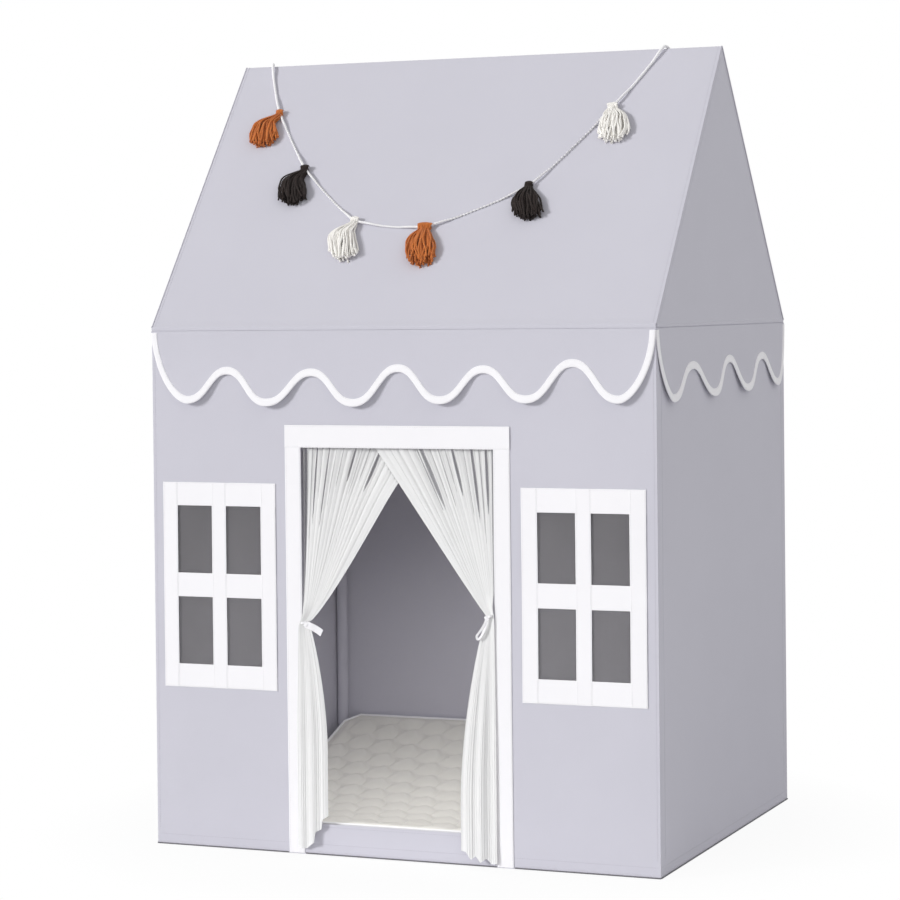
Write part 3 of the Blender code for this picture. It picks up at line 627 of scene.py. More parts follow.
# %% Openings
DOOR_HALF, DOOR_TOP, SILL = 0.175, 0.69, 0.053
WINDOW_X, WINDOW_Z = 0.3305, 0.4515
PANE_W, PANE_H, MULLION, CROSS_RAIL, STILE, RAIL = 0.066, 0.116, 0.027, 0.041, 0.028, 0.040
WINDOW_W, WINDOW_H = 0.215, 0.353
PANE_SEAM = 0.0015


def panes(middle):
    """Left, right, low and high edge of the panes of one window."""
    across, high = (MULLION + PANE_W) / 2, (CROSS_RAIL + PANE_H) / 2
    for i in (-1, 1):
        for j in (-1, 1):
            u, v = middle + i * across, WINDOW_Z + j * high
            yield u - PANE_W / 2, u + PANE_W / 2, v - PANE_H / 2, v + PANE_H / 2


cuts = [(-DOOR_HALF, DOOR_HALF, SILL, DOOR_TOP)]
for middle in (-WINDOW_X, WINDOW_X):
    for left, right, low, high in panes(middle):
        cuts.append((left - PANE_SEAM, right + PANE_SEAM, low - PANE_SEAM, high + PANE_SEAM))
cut_area = sum((right - left) * (high - low) for left, right, low, high in cuts)
print(len(cuts), "openings,", round(cut_area, 3), "square metres")


def is_open(u, v):
    return any(left < u < right and low < v < high for left, right, low, high in cuts)


# %% [markdown]
# ### One sheet per wall
#
# The other walls are plain sheets, so all four share one loop. Each has a hem at the floor and a
# topstitched seam at each corner, 5 to 22 mm in from the edges, and the front's hem stops at the
# jambs. The rows of stitches read the wall's own surface, so they lie on the cloth where it swells.

# %% Walls
WALL_TOP = EAVE - GAP
GRID, SEWN_LIFT = 0.013, 0.0001
HEM_ROW, EDGE_ROW, SIDE_ROW = 0.018, 0.005, 0.022
JAMB_OUT, SILL_END = 0.206, 0.173
walls = {}
seam_rows = []
for number, (name, (out, distance, width)) in enumerate(WALLS.items()):
    surface = front if name == "front" else wall_surface(out, distance, width, 3 * number + 1)
    us, vs, hole = [-width / 2, width / 2], [0.0, WALL_TOP], None
    side = width / 2 - EDGE_ROW
    hems = [(-side, side)]
    if name == "front":
        us = sorted(set(us) | {round(edge, 6) for cut in cuts for edge in cut[:2]})
        vs = sorted(set(vs) | {round(edge, 6) for cut in cuts for edge in cut[2:]})
        hole = is_open
        hems = [(-side, -JAMB_OUT), (-SILL_END, SILL_END), (JAMB_OUT, side)]
    grid = stops(us, GRID), stops(vs, GRID)
    walls[name] = cloth(f"canvas_wall_{name}", *grid, with_place(surface), CANVAS - GAP, canvas_grey, hole)
    node = f"{name}_wall" if name in ENDS else f"side_wall_{name}"
    settle(walls[name], "tent", node, slot="grey_canvas")
    sewn = side if name in ENDS else width / 2 - SIDE_ROW
    rows = [[(low, HEM_ROW), (high, HEM_ROW)] for low, high in hems]
    rows += [[(-sewn, 0.03), (-sewn, 0.87)], [(sewn, 0.03), (sewn, 0.87)]]
    if name == "front":
        rows.append([(-0.172, SILL - EDGE_ROW), (0.172, SILL - EDGE_ROW)])
    seam_rows += [line_on(surface, start, end, SEWN_LIFT, 24) for start, end in rows]
wall_stitches = stitches("wall_stitches", seam_rows, thread_grey)
settle(wall_stitches, "tent", slot="grey_canvas")
print("wall stitches:", len(wall_stitches.data.polygons) // 20)

# %% [markdown]
# ## Roof and gables
#
# The roof is one sheet that runs from the front eave over the ridge to the back eave. Its lower hems
# turn down over the tops of the walls, which leaves the fine dark line under each eave. Two flat
# halves would meet in a knife edge, so the sheet is a grid along the ridge and along a profile, and
# the profile is rounded where the ridge pole holds it up.

# %% Roof
HEM_LOW, GABLE_HEM_LOW, HEM_OUT = 0.8885, 0.8893, 0.0011


def roof_profile():
    """Places along the roof from the front hem to the back hem: run, height out and direction."""
    bend = 0.0025
    start = SLOPE_RUN - bend * math.tan(SLOPE)
    half = [(-HALF_Y - HEM_OUT, HEM_LOW), (-HALF_Y - HEM_OUT, 0.8926), (-HALF_Y - 0.0010, 0.8945)]
    for run in stops([0.004, start], 0.013):
        half.append((-HALF_Y + run * math.cos(SLOPE), EAVE + run * math.sin(SLOPE)))
    centre = RIDGE - bend / math.cos(SLOPE)
    arc = [SLOPE * (k / 3 - 1) for k in range(1, 4)]
    half += [(bend * math.sin(tilt), centre + bend * math.cos(tilt)) for tilt in arc]
    points = [Vector((0, y, z)) for y, z in half]
    points += [Vector((0, -p.y, p.z)) for p in reversed(points[:-1])]
    runs = [0.0]
    for a, b in zip(points, points[1:]):
        runs.append(runs[-1] + (b - a).length)
    return points, runs


profile, profile_runs = roof_profile()


def roof_surface(x, k, lift=0.0):
    """A point of the roof: across the tent, and by its number along the profile."""
    y = abs(profile[k].y)
    edge = max(min(HALF_X - abs(x), y - 0.01, HALF_Y - y), 0)
    rise = swell(x, profile_runs[k], edge, 17) * 0.8
    return profile[k] + RIGHT * x + RIGHT.cross(heading(profile, k)) * (rise + lift)


roof = cloth(
    "canvas_roof", stops([-HALF_X, HALF_X], GRID), range(len(profile)),
    lambda x, k: (roof_surface(x, k), (x, profile_runs[k])), CANVAS - GAP, canvas_grey,
)
settle(roof, "tent", "roof_front", "roof_back", slot="grey_canvas")
print("roof cloth", round(profile_runs[-1], 4), "m from hem to hem")

# %% [markdown]
# ### The two gables
#
# A gable is a triangle under the roof's rake. Cut from a square grid its sides would be steps, so it
# has as many columns at the foot as at the peak, and they draw together towards the top. Its foot
# turns out by the thickness of the hem, and a fine seam cord covers the edge along the roof.

# %% Gables
GABLE_TOP = RIDGE - (CANVAS + GAP) / math.cos(SLOPE) - 0.002
RAKE_ROW, RAKE_SEAM = 0.008, 0.0055


def gable_half(v):
    return max((GABLE_TOP - max(v, EAVE)) / math.tan(SLOPE), 0.0)


seams = []
for side, sx in SIDES.items():
    def gable(share, v, sx=sx):
        u = share * gable_half(v)
        edge = max(min(gable_half(v) - abs(u), v - 0.91), 0)
        hem = HEM_OUT * (1 - ease((v - 0.8930) / 0.0030))
        out = HALF_X + hem + swell(u, v, edge, 23 + sx)
        return UP.cross(RIGHT * sx) * u + RIGHT * sx * out + UP * v, (u, v)

    vs = [GABLE_HEM_LOW, 0.8915, 0.8930, 0.8940, 0.8950, 0.8962]
    vs += stops([0.900, GABLE_TOP - 0.0004], GRID)
    piece = cloth(f"canvas_gable_{side}", stops([-1, 1], 1 / 24), vs, gable, CANVAS - GAP, canvas_grey)
    settle(piece, "tent", f"gable_{side}", slot="grey_canvas")
    for way in (-1, 1):
        row = []
        for v in stops([0.90, GABLE_TOP - 0.02], 0.03):
            share = way * (1 - RAKE_ROW / max(gable_half(v), 0.02))
            row.append(gable(share, v)[0] + RIGHT * sx * SEWN_LIFT)
        seams.append(row)
    x = sx * (HALF_X - RAKE_SEAM)
    seams.append([roof_surface(x, k, SEWN_LIFT) for k in range(3, len(profile) - 3)])
    outline = [RIGHT * (sx * (HALF_X + 0.0002)) + point for point in profile[2:-2]]
    rake = thread(f"rake_seam_{side}", [outline], canvas_grey_plain, 0.0011, sides=6)
    settle(rake, "tent", slot="grey_canvas")
roof_stitches = stitches("roof_stitches", seams, thread_grey)
settle(roof_stitches, "tent", slot="grey_canvas")
print("roof stitches:", len(roof_stitches.data.polygons) // 20)

# %% [markdown]
# ## Doorway trim
#
# The doorway is edged with white cotton tape: a jamb down each side to the floor and a header over
# them, sewn on with two rows of stitches. A strip could be cut from the wall and painted white, but
# real tape has an edge that catches light. So each tape is a strip with softly rounded edges that
# follows the wall's swell, and the header lies over the tops of the jambs, as in the photograph.

# %% Tape
def tape_run(start, end, width, lift, surface, thickness=TAPE):
    """The rings of a straight tape between two places on a surface."""
    (u0, v0), (u1, v1) = start, end
    length = math.hypot(u1 - u0, v1 - v0)
    du, dv = (u1 - u0) / length, (v1 - v0) / length
    half, round_off, flat = width / 2, 0.0006, 0.0015
    rise = [(half, 0), (half, 0.6 * thickness), (half - round_off, thickness), (half - flat, thickness)]
    section = [(-a, h) for a, h in rise] + rise[::-1] + [(0, 0)]
    rings = []
    for s in stops([0.0, length], 0.012):
        ring = []
        for a, h in section:
            place = (u0 + du * s - dv * a, v0 + dv * s + du * a)
            ring.append((surface(*place, lift + h), (s, a)))
        rings.append(ring)
    return rings


JAMB, HEADER, INSET = 0.029, 0.038, 0.0022
HEADER_LIFT = 0.0007
trim_rows = []
runs = {}
for side, sx in SIDES.items():
    x = sx * (DOOR_HALF + JAMB / 2)
    runs[f"door_jamb_{side}"] = tape_run((x, 0.0015), (x, DOOR_TOP + 0.002), JAMB, GAP, front)
    for inset in (INSET, JAMB - INSET):
        x = sx * (DOOR_HALF + inset)
        trim_rows.append(line_on(front, (x, 0.006), (x, DOOR_TOP - 0.002), GAP + TAPE + SEWN_LIFT))
x, z = DOOR_HALF + JAMB, DOOR_TOP + HEADER / 2
runs["door_header"] = tape_run((-x, z), (x, z), HEADER, GAP + HEADER_LIFT, front)
for z in (DOOR_TOP + INSET, DOOR_TOP + HEADER - INSET):
    trim_rows.append(line_on(front, (-0.201, z), (0.201, z), GAP + TAPE + HEADER_LIFT + SEWN_LIFT))
for name, run in runs.items():
    piece = sweep(name, [run], cotton_white)
    settle(piece, "tent", "door_trim", slot="white_cotton")
    size = (HEADER, 0.408) if name == "door_header" else (JAMB, 0.6905)
print("door tapes:", ", ".join(runs))

# %% [markdown]
# ## Windows
#
# Each window is a frame of white tape with four panes. One flat frame would hide how it is sewn, so
# the rails go on first and the stiles and the mullion over them, and the laps show as faint steps.

# %% Window frames
BASE_TAPE, LAP = TAPE * 0.75, TAPE * 0.25
for side, sx in SIDES.items():
    middle = sx * WINDOW_X
    left, right = middle - WINDOW_W / 2, middle + WINDOW_W / 2
    low, high = WINDOW_Z - WINDOW_H / 2, WINDOW_Z + WINDOW_H / 2
    runs = []
    for z, width in ((low + RAIL / 2, RAIL), (WINDOW_Z, CROSS_RAIL), (high - RAIL / 2, RAIL)):
        runs.append(tape_run((left, z), (right, z), width, GAP, front, BASE_TAPE))
    for x, width in ((left + STILE / 2, STILE), (middle, MULLION), (right - STILE / 2, STILE)):
        runs.append(tape_run((x, low), (x, high), width, GAP + BASE_TAPE, front, LAP))
    piece = sweep(f"window_tape_{side}", runs, cotton_white)
    settle(piece, "tent", f"window_frame_{side}", slot="white_cotton")
    lift = GAP + TAPE + SEWN_LIFT
    for z in (low + 0.002, high - 0.002):
        trim_rows.append(line_on(front, (left + 0.002, z), (right - 0.002, z), lift - LAP))
    sewn = [left + 0.002, left + STILE - 0.002, middle - MULLION / 2 + 0.002]
    for x in sewn + [2 * middle - x for x in reversed(sewn)]:
        trim_rows.append(line_on(front, (x, low + 0.003), (x, high - 0.003), lift))
trim_stitches = stitches("trim_stitches", trim_rows, thread_white)
settle(trim_stitches, "tent", slot="white_cotton")
print("trim stitches:", len(trim_stitches.data.polygons) // 20)

# %% [markdown]
# ### The nets
#
# Behind the panes is dark net. It is too fine to model as a weave that goes over and under, and a
# see-through material would lose its threads in a close view. So it is two layers of threads, one
# each way, swept by the same node tree as the cord. Light passes between them as through real net.

# %% Window nets
net_grey = yarn_finish("dark_grey_net", (0.335, 0.326, 0.336), (0.238, 0.230, 0.240), 0.2)
NET_PITCH, NET_THREAD = 0.0012, 0.00058
for side, sx in SIDES.items():
    middle = sx * WINDOW_X
    half_w, half_h = PANE_W + MULLION / 2 + 0.012, PANE_H + CROSS_RAIL / 2 + 0.012
    strands = []
    for layer, (span, reach) in enumerate(((half_w, half_h), (half_h, half_w))):
        for k in range(round(2 * span / NET_PITCH)):
            offset = -span + NET_PITCH * (k + 0.5)
            strand = []
            for i in range(9):
                reached = reach * (i / 4 - 1)
                u, v = (offset, reached) if layer == 0 else (reached, offset)
                lift = -CANVAS - GAP - NET_THREAD * (0.5 + layer * 0.9)
                strand.append(front(middle + u, WINDOW_Z + v, lift))
            strands.append(strand)
    net = thread(f"net_{side}", strands, net_grey, NET_THREAD / 2, sides=4)
    settle(net, "tent", f"window_net_{side}", slot="grey_net")
    print("net", side, len(strands), "threads,", len(net.data.polygons), "faces")

# %% [markdown]
# ## Scalloped valances
#
# A flap hangs under each eave, cut in six waves at the front and back and four at the sides. A row of
# circles would leave sharp cusps, which the photograph doesn't have. The edge is a cosine between two
# quarter ellipses, and a table moves each knot by some millimetres to where it was sewn.

# %% The scalloped edge
DROP, RISE, END, CORNER_DROP, BINDING = 0.122, 0.054, 0.063, 0.003, 0.0127
BROAD, ROUND_CORNER, WAVE_STEPS = 0.05, 1.14, 14
UNEVEN = {
    "front": [
        (0.010, 0.002), (0.004, 0.006), (0.002, 0.006), (0.005, 0.009), (0.006, 0.006), (0.007, 0.002),
        (0.005, 0.001), (0.002, 0.004), (0, -0.001), (0, -0.006), (0.002, -0.001),
    ],
    "right": [
        (-0.002, -0.001), (0.017, 0.002), (0.018, -0.003), (0.020, -0.004),
        (0.004, -0.005), (0.012, -0.005), (-0.006, -0.009),
    ],
    "back": [(0, 0)] * 11,
}
UNEVEN["left"] = [(-aside, lower) for aside, lower in reversed(UNEVEN["right"])]


def quarter_turn(knot, reach):
    """The edge from an end lobe's lowest point out to the corner, as a rounded quarter."""
    for i in range(1, WAVE_STEPS + 1):
        t = math.pi / 2 * i / WAVE_STEPS
        fall = CORNER_DROP + (knot[1] - CORNER_DROP) * max(math.cos(t), 0) ** ROUND_CORNER
        yield knot[0] + reach * math.sin(t) ** ROUND_CORNER, fall


def scallops(name, length, lobes):
    """Places along the flap, and how far it drops at each."""
    last, half = length / 2 - END, length / 2
    knots = []
    for k, (aside, lower) in enumerate(UNEVEN[name]):
        even = last * (k / (lobes - 1) - 1)
        knots.append((even + aside, DROP - RISE * (k % 2) + lower))
    inner = []
    for (s0, d0), (s1, d1) in zip(knots, knots[1:]):
        swing, span = (d0 - d1) / 2, s1 - s0
        for i in range(WAVE_STEPS):
            turn = math.pi * i / WAVE_STEPS
            wave = (math.cos(turn) - BROAD * math.cos(3 * turn)) / (1 - BROAD)
            slope = (3 * BROAD * math.sin(3 * turn) - math.sin(turn)) / (1 - BROAD) * swing * math.pi / span
            out = BINDING / 2 / math.hypot(1, slope)
            middle = (d0 + d1) / 2 + swing * wave - BINDING / 2
            inner.append((s0 + span * i / WAVE_STEPS - slope * out, middle + out))
    start = list(quarter_turn(knots[0], -half - knots[0][0]))
    return start[::-1] + inner + [knots[-1]] + list(quarter_turn(knots[-1], half - knots[-1][0]))


edges = {name: scallops(name, WIDTH, 6) if name in ENDS else scallops(name, DEPTH, 4) for name in WALLS}
print("scalloped edges:", ", ".join(f"{name} {len(edge)} places" for name, edge in edges.items()))

# %% [markdown]
# ### The binding and the flaps
#
# The flap is a grid whose columns end on that curve. It stands off the wall towards its edge and
# sways a little. White bias tape is folded over the edge, and paint on the cloth would have no
# thickness, so the tape is swept along the same curve. FOLD gives its section: a share of the tape's
# width, a distance added to it, and a height off the cloth.

# %% Valances
FOLD = [
    (1, 0, 0.0002), (1, -0.0003, 0.0009), (1, -0.0013, 0.0011), (0, 0.0022, 0.0011),
    (0, 0.0009, 0.0009), (0, -0.0003, 0.0002), (0, -0.0006, -0.0006), (0, -0.0003, -0.0014),
    (0, 0.0012, -0.0022), (0.5, 0, -0.0023), (1, 0, -0.0020), (1, 0, -0.0014),
]
BINDING_ROW, FLARE_OUT, SWAY = 0.0016, 0.0090, 0.0018


def binding_width(course):
    return BINDING * (0.80 + 0.20 * course.x**2)


def binding_rings(edge, surface):
    """Rings of the bias tape that is folded over a scalloped edge."""
    rings, place = [], 0.0
    for k, (s, d) in enumerate(edge):
        course = heading(edge, k)
        if k:
            place += math.dist(edge[k - 1], edge[k])
        ring = []
        for share, more, lift in FOLD:
            reach = share * binding_width(course) + more
            down = max(d - course.x * reach, 0.0008)
            ring.append((surface(s + course.y * reach, down, lift), (place, reach)))
        rings.append(ring)
    return rings


for number, (name, (out, distance, width)) in enumerate(WALLS.items()):
    edge, drop_at = edges[name], dict(edges[name])

    def flap(s, down, lift=0.0, out=out, distance=distance, seed=number):
        lower = (down / DROP) ** 2
        sway = SWAY * lower * (0.6 + noise.noise(Vector((s * 9, down * 6, seed * 7 + 3))))
        off = GAP + TAPE + FLARE_OUT * lower + sway
        return UP.cross(out) * s + out * (distance + off + lift) + UP * (SEAM_HEIGHT - down)

    def flap_cell(s, share, flap=flap, drop_at=drop_at):
        down = share * drop_at[s]
        return flap(s, down), (s, down)

    shares = [1 - i / 9 for i in range(10)]
    piece = cloth(f"canvas_valance_{name}", [s for s, _ in edge], shares, flap_cell, TAPE, canvas_grey)
    cut = sum((b[0] - a[0]) * (a[1] + b[1]) / 2 for a, b in zip(edge, edge[1:]))
    binding = sweep(f"valance_binding_{name}", [binding_rings(edge, flap)], cotton_white)
    inset = [(s, d) for s, d in edge if d > 0.02]
    row = []
    for k, (s, d) in enumerate(inset):
        course = heading(inset, k)
        reach = binding_width(course) - BINDING_ROW
        row.append(flap(s + course.y * reach, d - course.x * reach, 0.0010))
    sewn = stitches(f"valance_stitches_{name}", [row], thread_white)
    body = f"{name}_valance_flap"
    settle(piece, body, f"valance_{name}", slot="grey_canvas")
    settle(binding, body, slot="white_cotton")
    settle(sewn, body, slot="white_cotton")
    size = (WIDTH if name in ENDS else DEPTH, DROP)
    print("valance", name, "cut", round(cut, 4), "square metres")

# %% [markdown]
# ## Curtains
#
# Two voile curtains hang from behind the header, cross at the top, and are tied back against the
# jambs. Voile is sheer: one layer shows the dark inside through it, and gathered layers read as
# white. Several layers of clear cloth would be slow and noisy, so there is one. An attribute on it
# says how thin the gather is at each point, and the material reads its opacity from that.

# %% Voile finish
def voile_finish():
    material, tree, shader = new_finish("sheer_voile", 0.8, 0.1)
    threads = weave(tree, 0.0006)
    share = calc(tree, "MULTIPLY_ADD", threads, 0.3, calc(tree, "MULTIPLY", speckle(tree, 30.0), 0.7))
    tint(tree, shader, (0.955, 0.955, 0.95), (0.91, 0.91, 0.91), share)
    raise_threads(tree, shader, threads, 0.15, 0.0002)
    gather = add(tree, "ShaderNodeAttribute", attribute_name="gather").outputs["Fac"]
    tree.links.new(gather, shader.inputs["Alpha"])
    return material


voile = voile_finish()
print("voile:", len(voile.node_tree.nodes), "nodes")

# %% [markdown]
# ### How the curtains hang
#
# A tied curtain is narrow at its waist and spreads above and below it. These tables say where the
# waist, tail and hem are, in metres from the door's middle and from the floor, because two curtains
# tied by hand are never alike. An opening between pleats has a place across the cloth, half a width,
# a length down from the header and a share of the cover that it takes away.

# %% Curtain edges
CURTAIN_TOP = DOOR_TOP - GAP
CURTAIN_FRONT = -HALF_Y + 0.001
VOILE = 0.0005
TOP_OUTER, TOP_INNER, WAIST_OUTER = 0.174, -0.040, 0.1725
WAISTS = {"left": 0.394, "right": 0.415}
WAIST_INNER = {"left": 0.163, "right": 0.160}
TAIL_INNER = {"left": 0.127, "right": 0.114}
FLARE_END = {"left": 0.17, "right": 0.10}
FLARE = 0.44
SWING = {"left": 0.0088, "right": 0.0020}
OVER_JAMB = {"left": 0.009, "right": 0.003}
HEMS = {
    "left": [
        (0.0, 0.012), (0.30, 0.011), (0.42, 0.017), (0.55, 0.022),
        (0.60, 0.040), (0.78, 0.046), (0.82, 0.062), (1.0, 0.069),
    ],
    "right": [
        (0.0, 0.007), (0.18, 0.006), (0.30, 0.015), (0.45, 0.008),
        (0.60, 0.018), (0.72, 0.012), (0.86, 0.024), (1.0, 0.026),
    ],
}
OPENINGS = {
    "left": [
        (0.028, 0.030, 0.27, 0.90), (0.088, 0.009, 0.17, 0.55), (0.128, 0.015, 0.13, 0.90),
        (0.175, 0.009, 0.09, 0.6), (0.235, 0.013, 0.14, 0.9), (0.30, 0.008, 0.10, 0.5),
        (0.36, 0.009, 0.07, 0.6), (0.46, 0.014, 0.06, 0.9), (0.515, 0.008, 0.08, 0.5),
        (0.58, 0.009, 0.06, 0.6), (0.675, 0.024, 0.075, 1.0),
    ],
    "right": [
        (0.015, 0.013, 0.25, 0.8), (0.068, 0.019, 0.11, 0.9), (0.125, 0.009, 0.16, 0.6),
        (0.19, 0.023, 0.12, 0.95), (0.26, 0.009, 0.12, 0.6), (0.35, 0.020, 0.08, 0.9),
        (0.41, 0.009, 0.07, 0.55), (0.47, 0.010, 0.10, 0.6), (0.54, 0.010, 0.09, 0.6),
        (0.615, 0.030, 0.10, 0.8), (0.65, 0.010, 0.11, 1.0),
    ],
}


def over_jamb(side, z):
    """How far the tied curtain reaches over the face of the jamb, from just above its waist down."""
    below = WAISTS[side] - z
    return OVER_JAMB[side] * (ease((below + 0.018) / 0.03) + 0.55 * ease(below / 0.2))


def on_jamb(side, s, z):
    """How much of the curtain's depth is that of the jamb's face, where it reaches over the jamb."""
    return (1 - ease(s / 0.5)) * ease((WAISTS[side] - z + 0.040) / 0.024)


def curtain_edges(side, z):
    """Outer and inner edge of a curtain at a height, from the door's middle to its own jamb."""
    waist = WAISTS[side]
    if z > waist:
        share = (z - waist) / (CURTAIN_TOP - waist)
        swing = SWING[side] * math.sin(math.pi * min(share / 0.78, 1.0) ** 0.55)
        inner = WAIST_INNER[side] + (TOP_INNER - WAIST_INNER[side]) * share - swing
        return WAIST_OUTER + (TOP_OUTER - WAIST_OUTER) * share + over_jamb(side, z), inner
    share = ease((waist - z) / (waist - FLARE_END[side])) ** FLARE
    inner = WAIST_INNER[side] + (TAIL_INNER[side] - WAIST_INNER[side]) * share
    return WAIST_OUTER + over_jamb(side, z), inner


def curtain_depth(z):
    """Where the middle of the folds is: behind the header above, in front of the sill below."""
    hung, tail = CURTAIN_FRONT + 0.0045, -HALF_Y - 0.0098
    return hung + (tail - hung) * ease((CURTAIN_TOP - z) / (CURTAIN_TOP - 0.083))


print("curtains reach from", round(CURTAIN_TOP, 3), "m down to", HEMS["right"][1][1], "m")

# %% [markdown]
# ### One sheet per curtain
#
# Each curtain is one sheet whose pleats are uneven waves that draw together at the tie and open again
# below it. A simulation would tangle in pleats this narrow, so their widths and depths come from a
# seeded list. Where the two cross, the left one is cut off under the right one's hem, because two
# sheer layers a hair apart would show as noise.

# %% Curtains
TURNED_HEM, FOLD_LIMIT, JAMB_FACE, LAP_BEHIND = 0.88, 0.0038, 0.0050, 0.0040
COVER, HEM_COVER, CLEAREST, DENSEST = 0.83, 0.88, 0.07, 0.93
COLUMNS, TAIL_ROWS, TOP_ROWS = 210, 60, 56


def pleat_bounds(seed):
    """Where the pleats start, as shares across the cloth, and how full each is."""
    pick, bounds = random.Random(seed), [0.0]
    while bounds[-1] < 0.83:
        bounds.append(bounds[-1] + pick.uniform(0.035, 0.085))
    return bounds[:-1] + [TURNED_HEM, 1.0001], [pick.uniform(0.5, 1.0) for _ in range(40)]


def make_curtain(side, sx):
    bounds, crests = pleat_bounds(17 + sx)
    seed, waist = 20 + 7 * sx, WAISTS[side]

    def relief(s, z):
        """How far the cloth stands forward of its middle."""
        outer, inner = curtain_edges(side, z)
        wide = outer - inner
        k = next(i for i in range(len(bounds) - 1) if s < bounds[i + 1])
        pleat = bounds[k + 1] - bounds[k]
        crest = math.sin(math.pi * (s - bounds[k]) / pleat) ** 0.7 - 0.6 if s < TURNED_HEM else 0.1
        deep = wide * pleat * (0.16 if z > waist else 0.26) * crests[k]
        billow = noise.noise(Vector((s * 4.5, z * 3, seed))) * min(0.0022, wide * 0.02)
        fine = noise.noise(Vector((s * 38, z * 5, seed))) * wide * 0.0030
        tail = 0.0016 * math.sin(s * 17 + sx) * ease((waist - z) / 0.2)
        return deep * crest + billow + fine + tail

    def height(s, t):
        """The height at a place down the cloth: 0 at the header, 1 at the waist and 2 at the hem."""
        if t <= 1:
            return CURTAIN_TOP + (waist - CURTAIN_TOP) * t
        return waist + (between(HEMS[side], s) - waist) * (t - 1)

    def surface(s, t):
        z = height(s, t)
        outer, inner = curtain_edges(side, z)
        front = min(relief(s, z), FOLD_LIMIT)
        if side == "left":
            front -= LAP_BEHIND * ease((z - 0.59) / 0.05) * ease((s - 0.35) / 0.25)
        depth = curtain_depth(z)
        depth += (-HALF_Y - JAMB_FACE - depth) * on_jamb(side, s, z)
        return Vector((sx * (outer + (inner - outer) * s), depth - front, z)), (s * 0.30, z)

    def opacity(s, z):
        """How much one layer of the cloth hides, less where the gather opens it."""
        high = ease((z - waist) / 0.26)
        streak = noise.noise(Vector((s * 55, z * 2.5, seed + 3))) * 0.10
        streak += noise.noise(Vector((s * 21, z * 4, seed + 5))) * 0.12
        cover = COVER - 0.12 * high * (1 - ease((s - 0.4) / 0.5)) + streak * (0.5 + 0.7 * high)
        for place, half, length, dark in OPENINGS[side]:
            down = (CURTAIN_TOP - z) / length
            if down < 1:
                reach = half * (0.55 + 0.9 * down) * (1 - down**3)
                cover *= 1 - dark * ease((1 - abs(s - place) / reach) / 0.40)
        if s > TURNED_HEM or z < height(s, 2) + 0.006:
            cover = max(cover, HEM_COVER)
        return min(DENSEST, max(CLEAREST, cover))

    columns = [k / COLUMNS if sx < 0 else 1 - k / COLUMNS for k in range(COLUMNS + 1)]
    rows = [2 - k / TAIL_ROWS for k in range(TAIL_ROWS)] + [1 - k / TOP_ROWS for k in range(TOP_ROWS + 1)]
    piece = cloth(f"voile_curtain_{side}", columns, rows, surface, VOILE, voile)
    gather = piece.data.attributes.new("gather", "FLOAT", "POINT")
    gather.data.foreach_set("value", [opacity(s, height(s, t)) for t in rows for s in columns])
    return piece


def trim_under(piece):
    """Cuts the left curtain along the right one's hem, where the two cross."""
    low, foot_x = WAISTS["right"], WAIST_INNER["right"] - 0.0050
    across = (CURTAIN_TOP - low, 0, foot_x - TOP_INNER)
    with edited(piece) as bm:
        geom = bm.verts[:] + bm.edges[:] + bm.faces[:]
        bmesh.ops.bisect_plane(bm, geom=geom, plane_co=(foot_x, 0, low), plane_no=across, clear_outer=True)


for side, sx in SIDES.items():
    piece = make_curtain(side, sx)
    if side == "left":
        trim_under(piece)
    settle(piece, f"{side}_curtain_panel", f"curtain_{side}", slot="white_voile")
    print("curtain", side, len(piece.data.polygons), "faces")

# %% [markdown]
# ## Ribbon ties
#
# A narrow white ribbon holds each curtain at its waist. The left one ends in a short flat tail, and
# the right one in a small loop. A ribbon is flat, so a round thread won't do: it is a strip with a
# path, whose wide side follows a direction given at each point.

# %% Ribbons
TAIL_STEPS = [(0, 0, 0), (0.009, -0.001, -0.003), (0.019, 0.0005, -0.008), (0.0285, 0.001, -0.0140)]
LOOP_STEPS = [
    (0, 0, 0), (-0.0050, -0.0020, -0.0120), (-0.0120, -0.0022, -0.0225), (-0.0175, -0.0020, -0.0300),
    (-0.0160, -0.0016, -0.0350), (-0.0110, -0.0014, -0.0315), (-0.0045, -0.0012, -0.0205),
    (-0.0005, 0, -0.0060),
]
RIBBON_WIDTH = 0.0036


def ribbon(points, wides, thickness=0.0006):
    """Rings of a flat strip: its points, and the vector across its width at each."""
    rings, place = [], 0.0
    for k, (point, wide) in enumerate(zip(points, wides)):
        thick = wide.cross(heading(points, k)).normalized() * thickness / 2
        place += (point - points[k - 1]).length if k else 0
        corners = [(-0.5, -1), (0, -1), (0.5, -1), (0.5, 1), (0, 1), (-0.5, 1)]
        rings.append([(point + wide * a + thick * b, (place, a * wide.length)) for a, b in corners])
    return rings


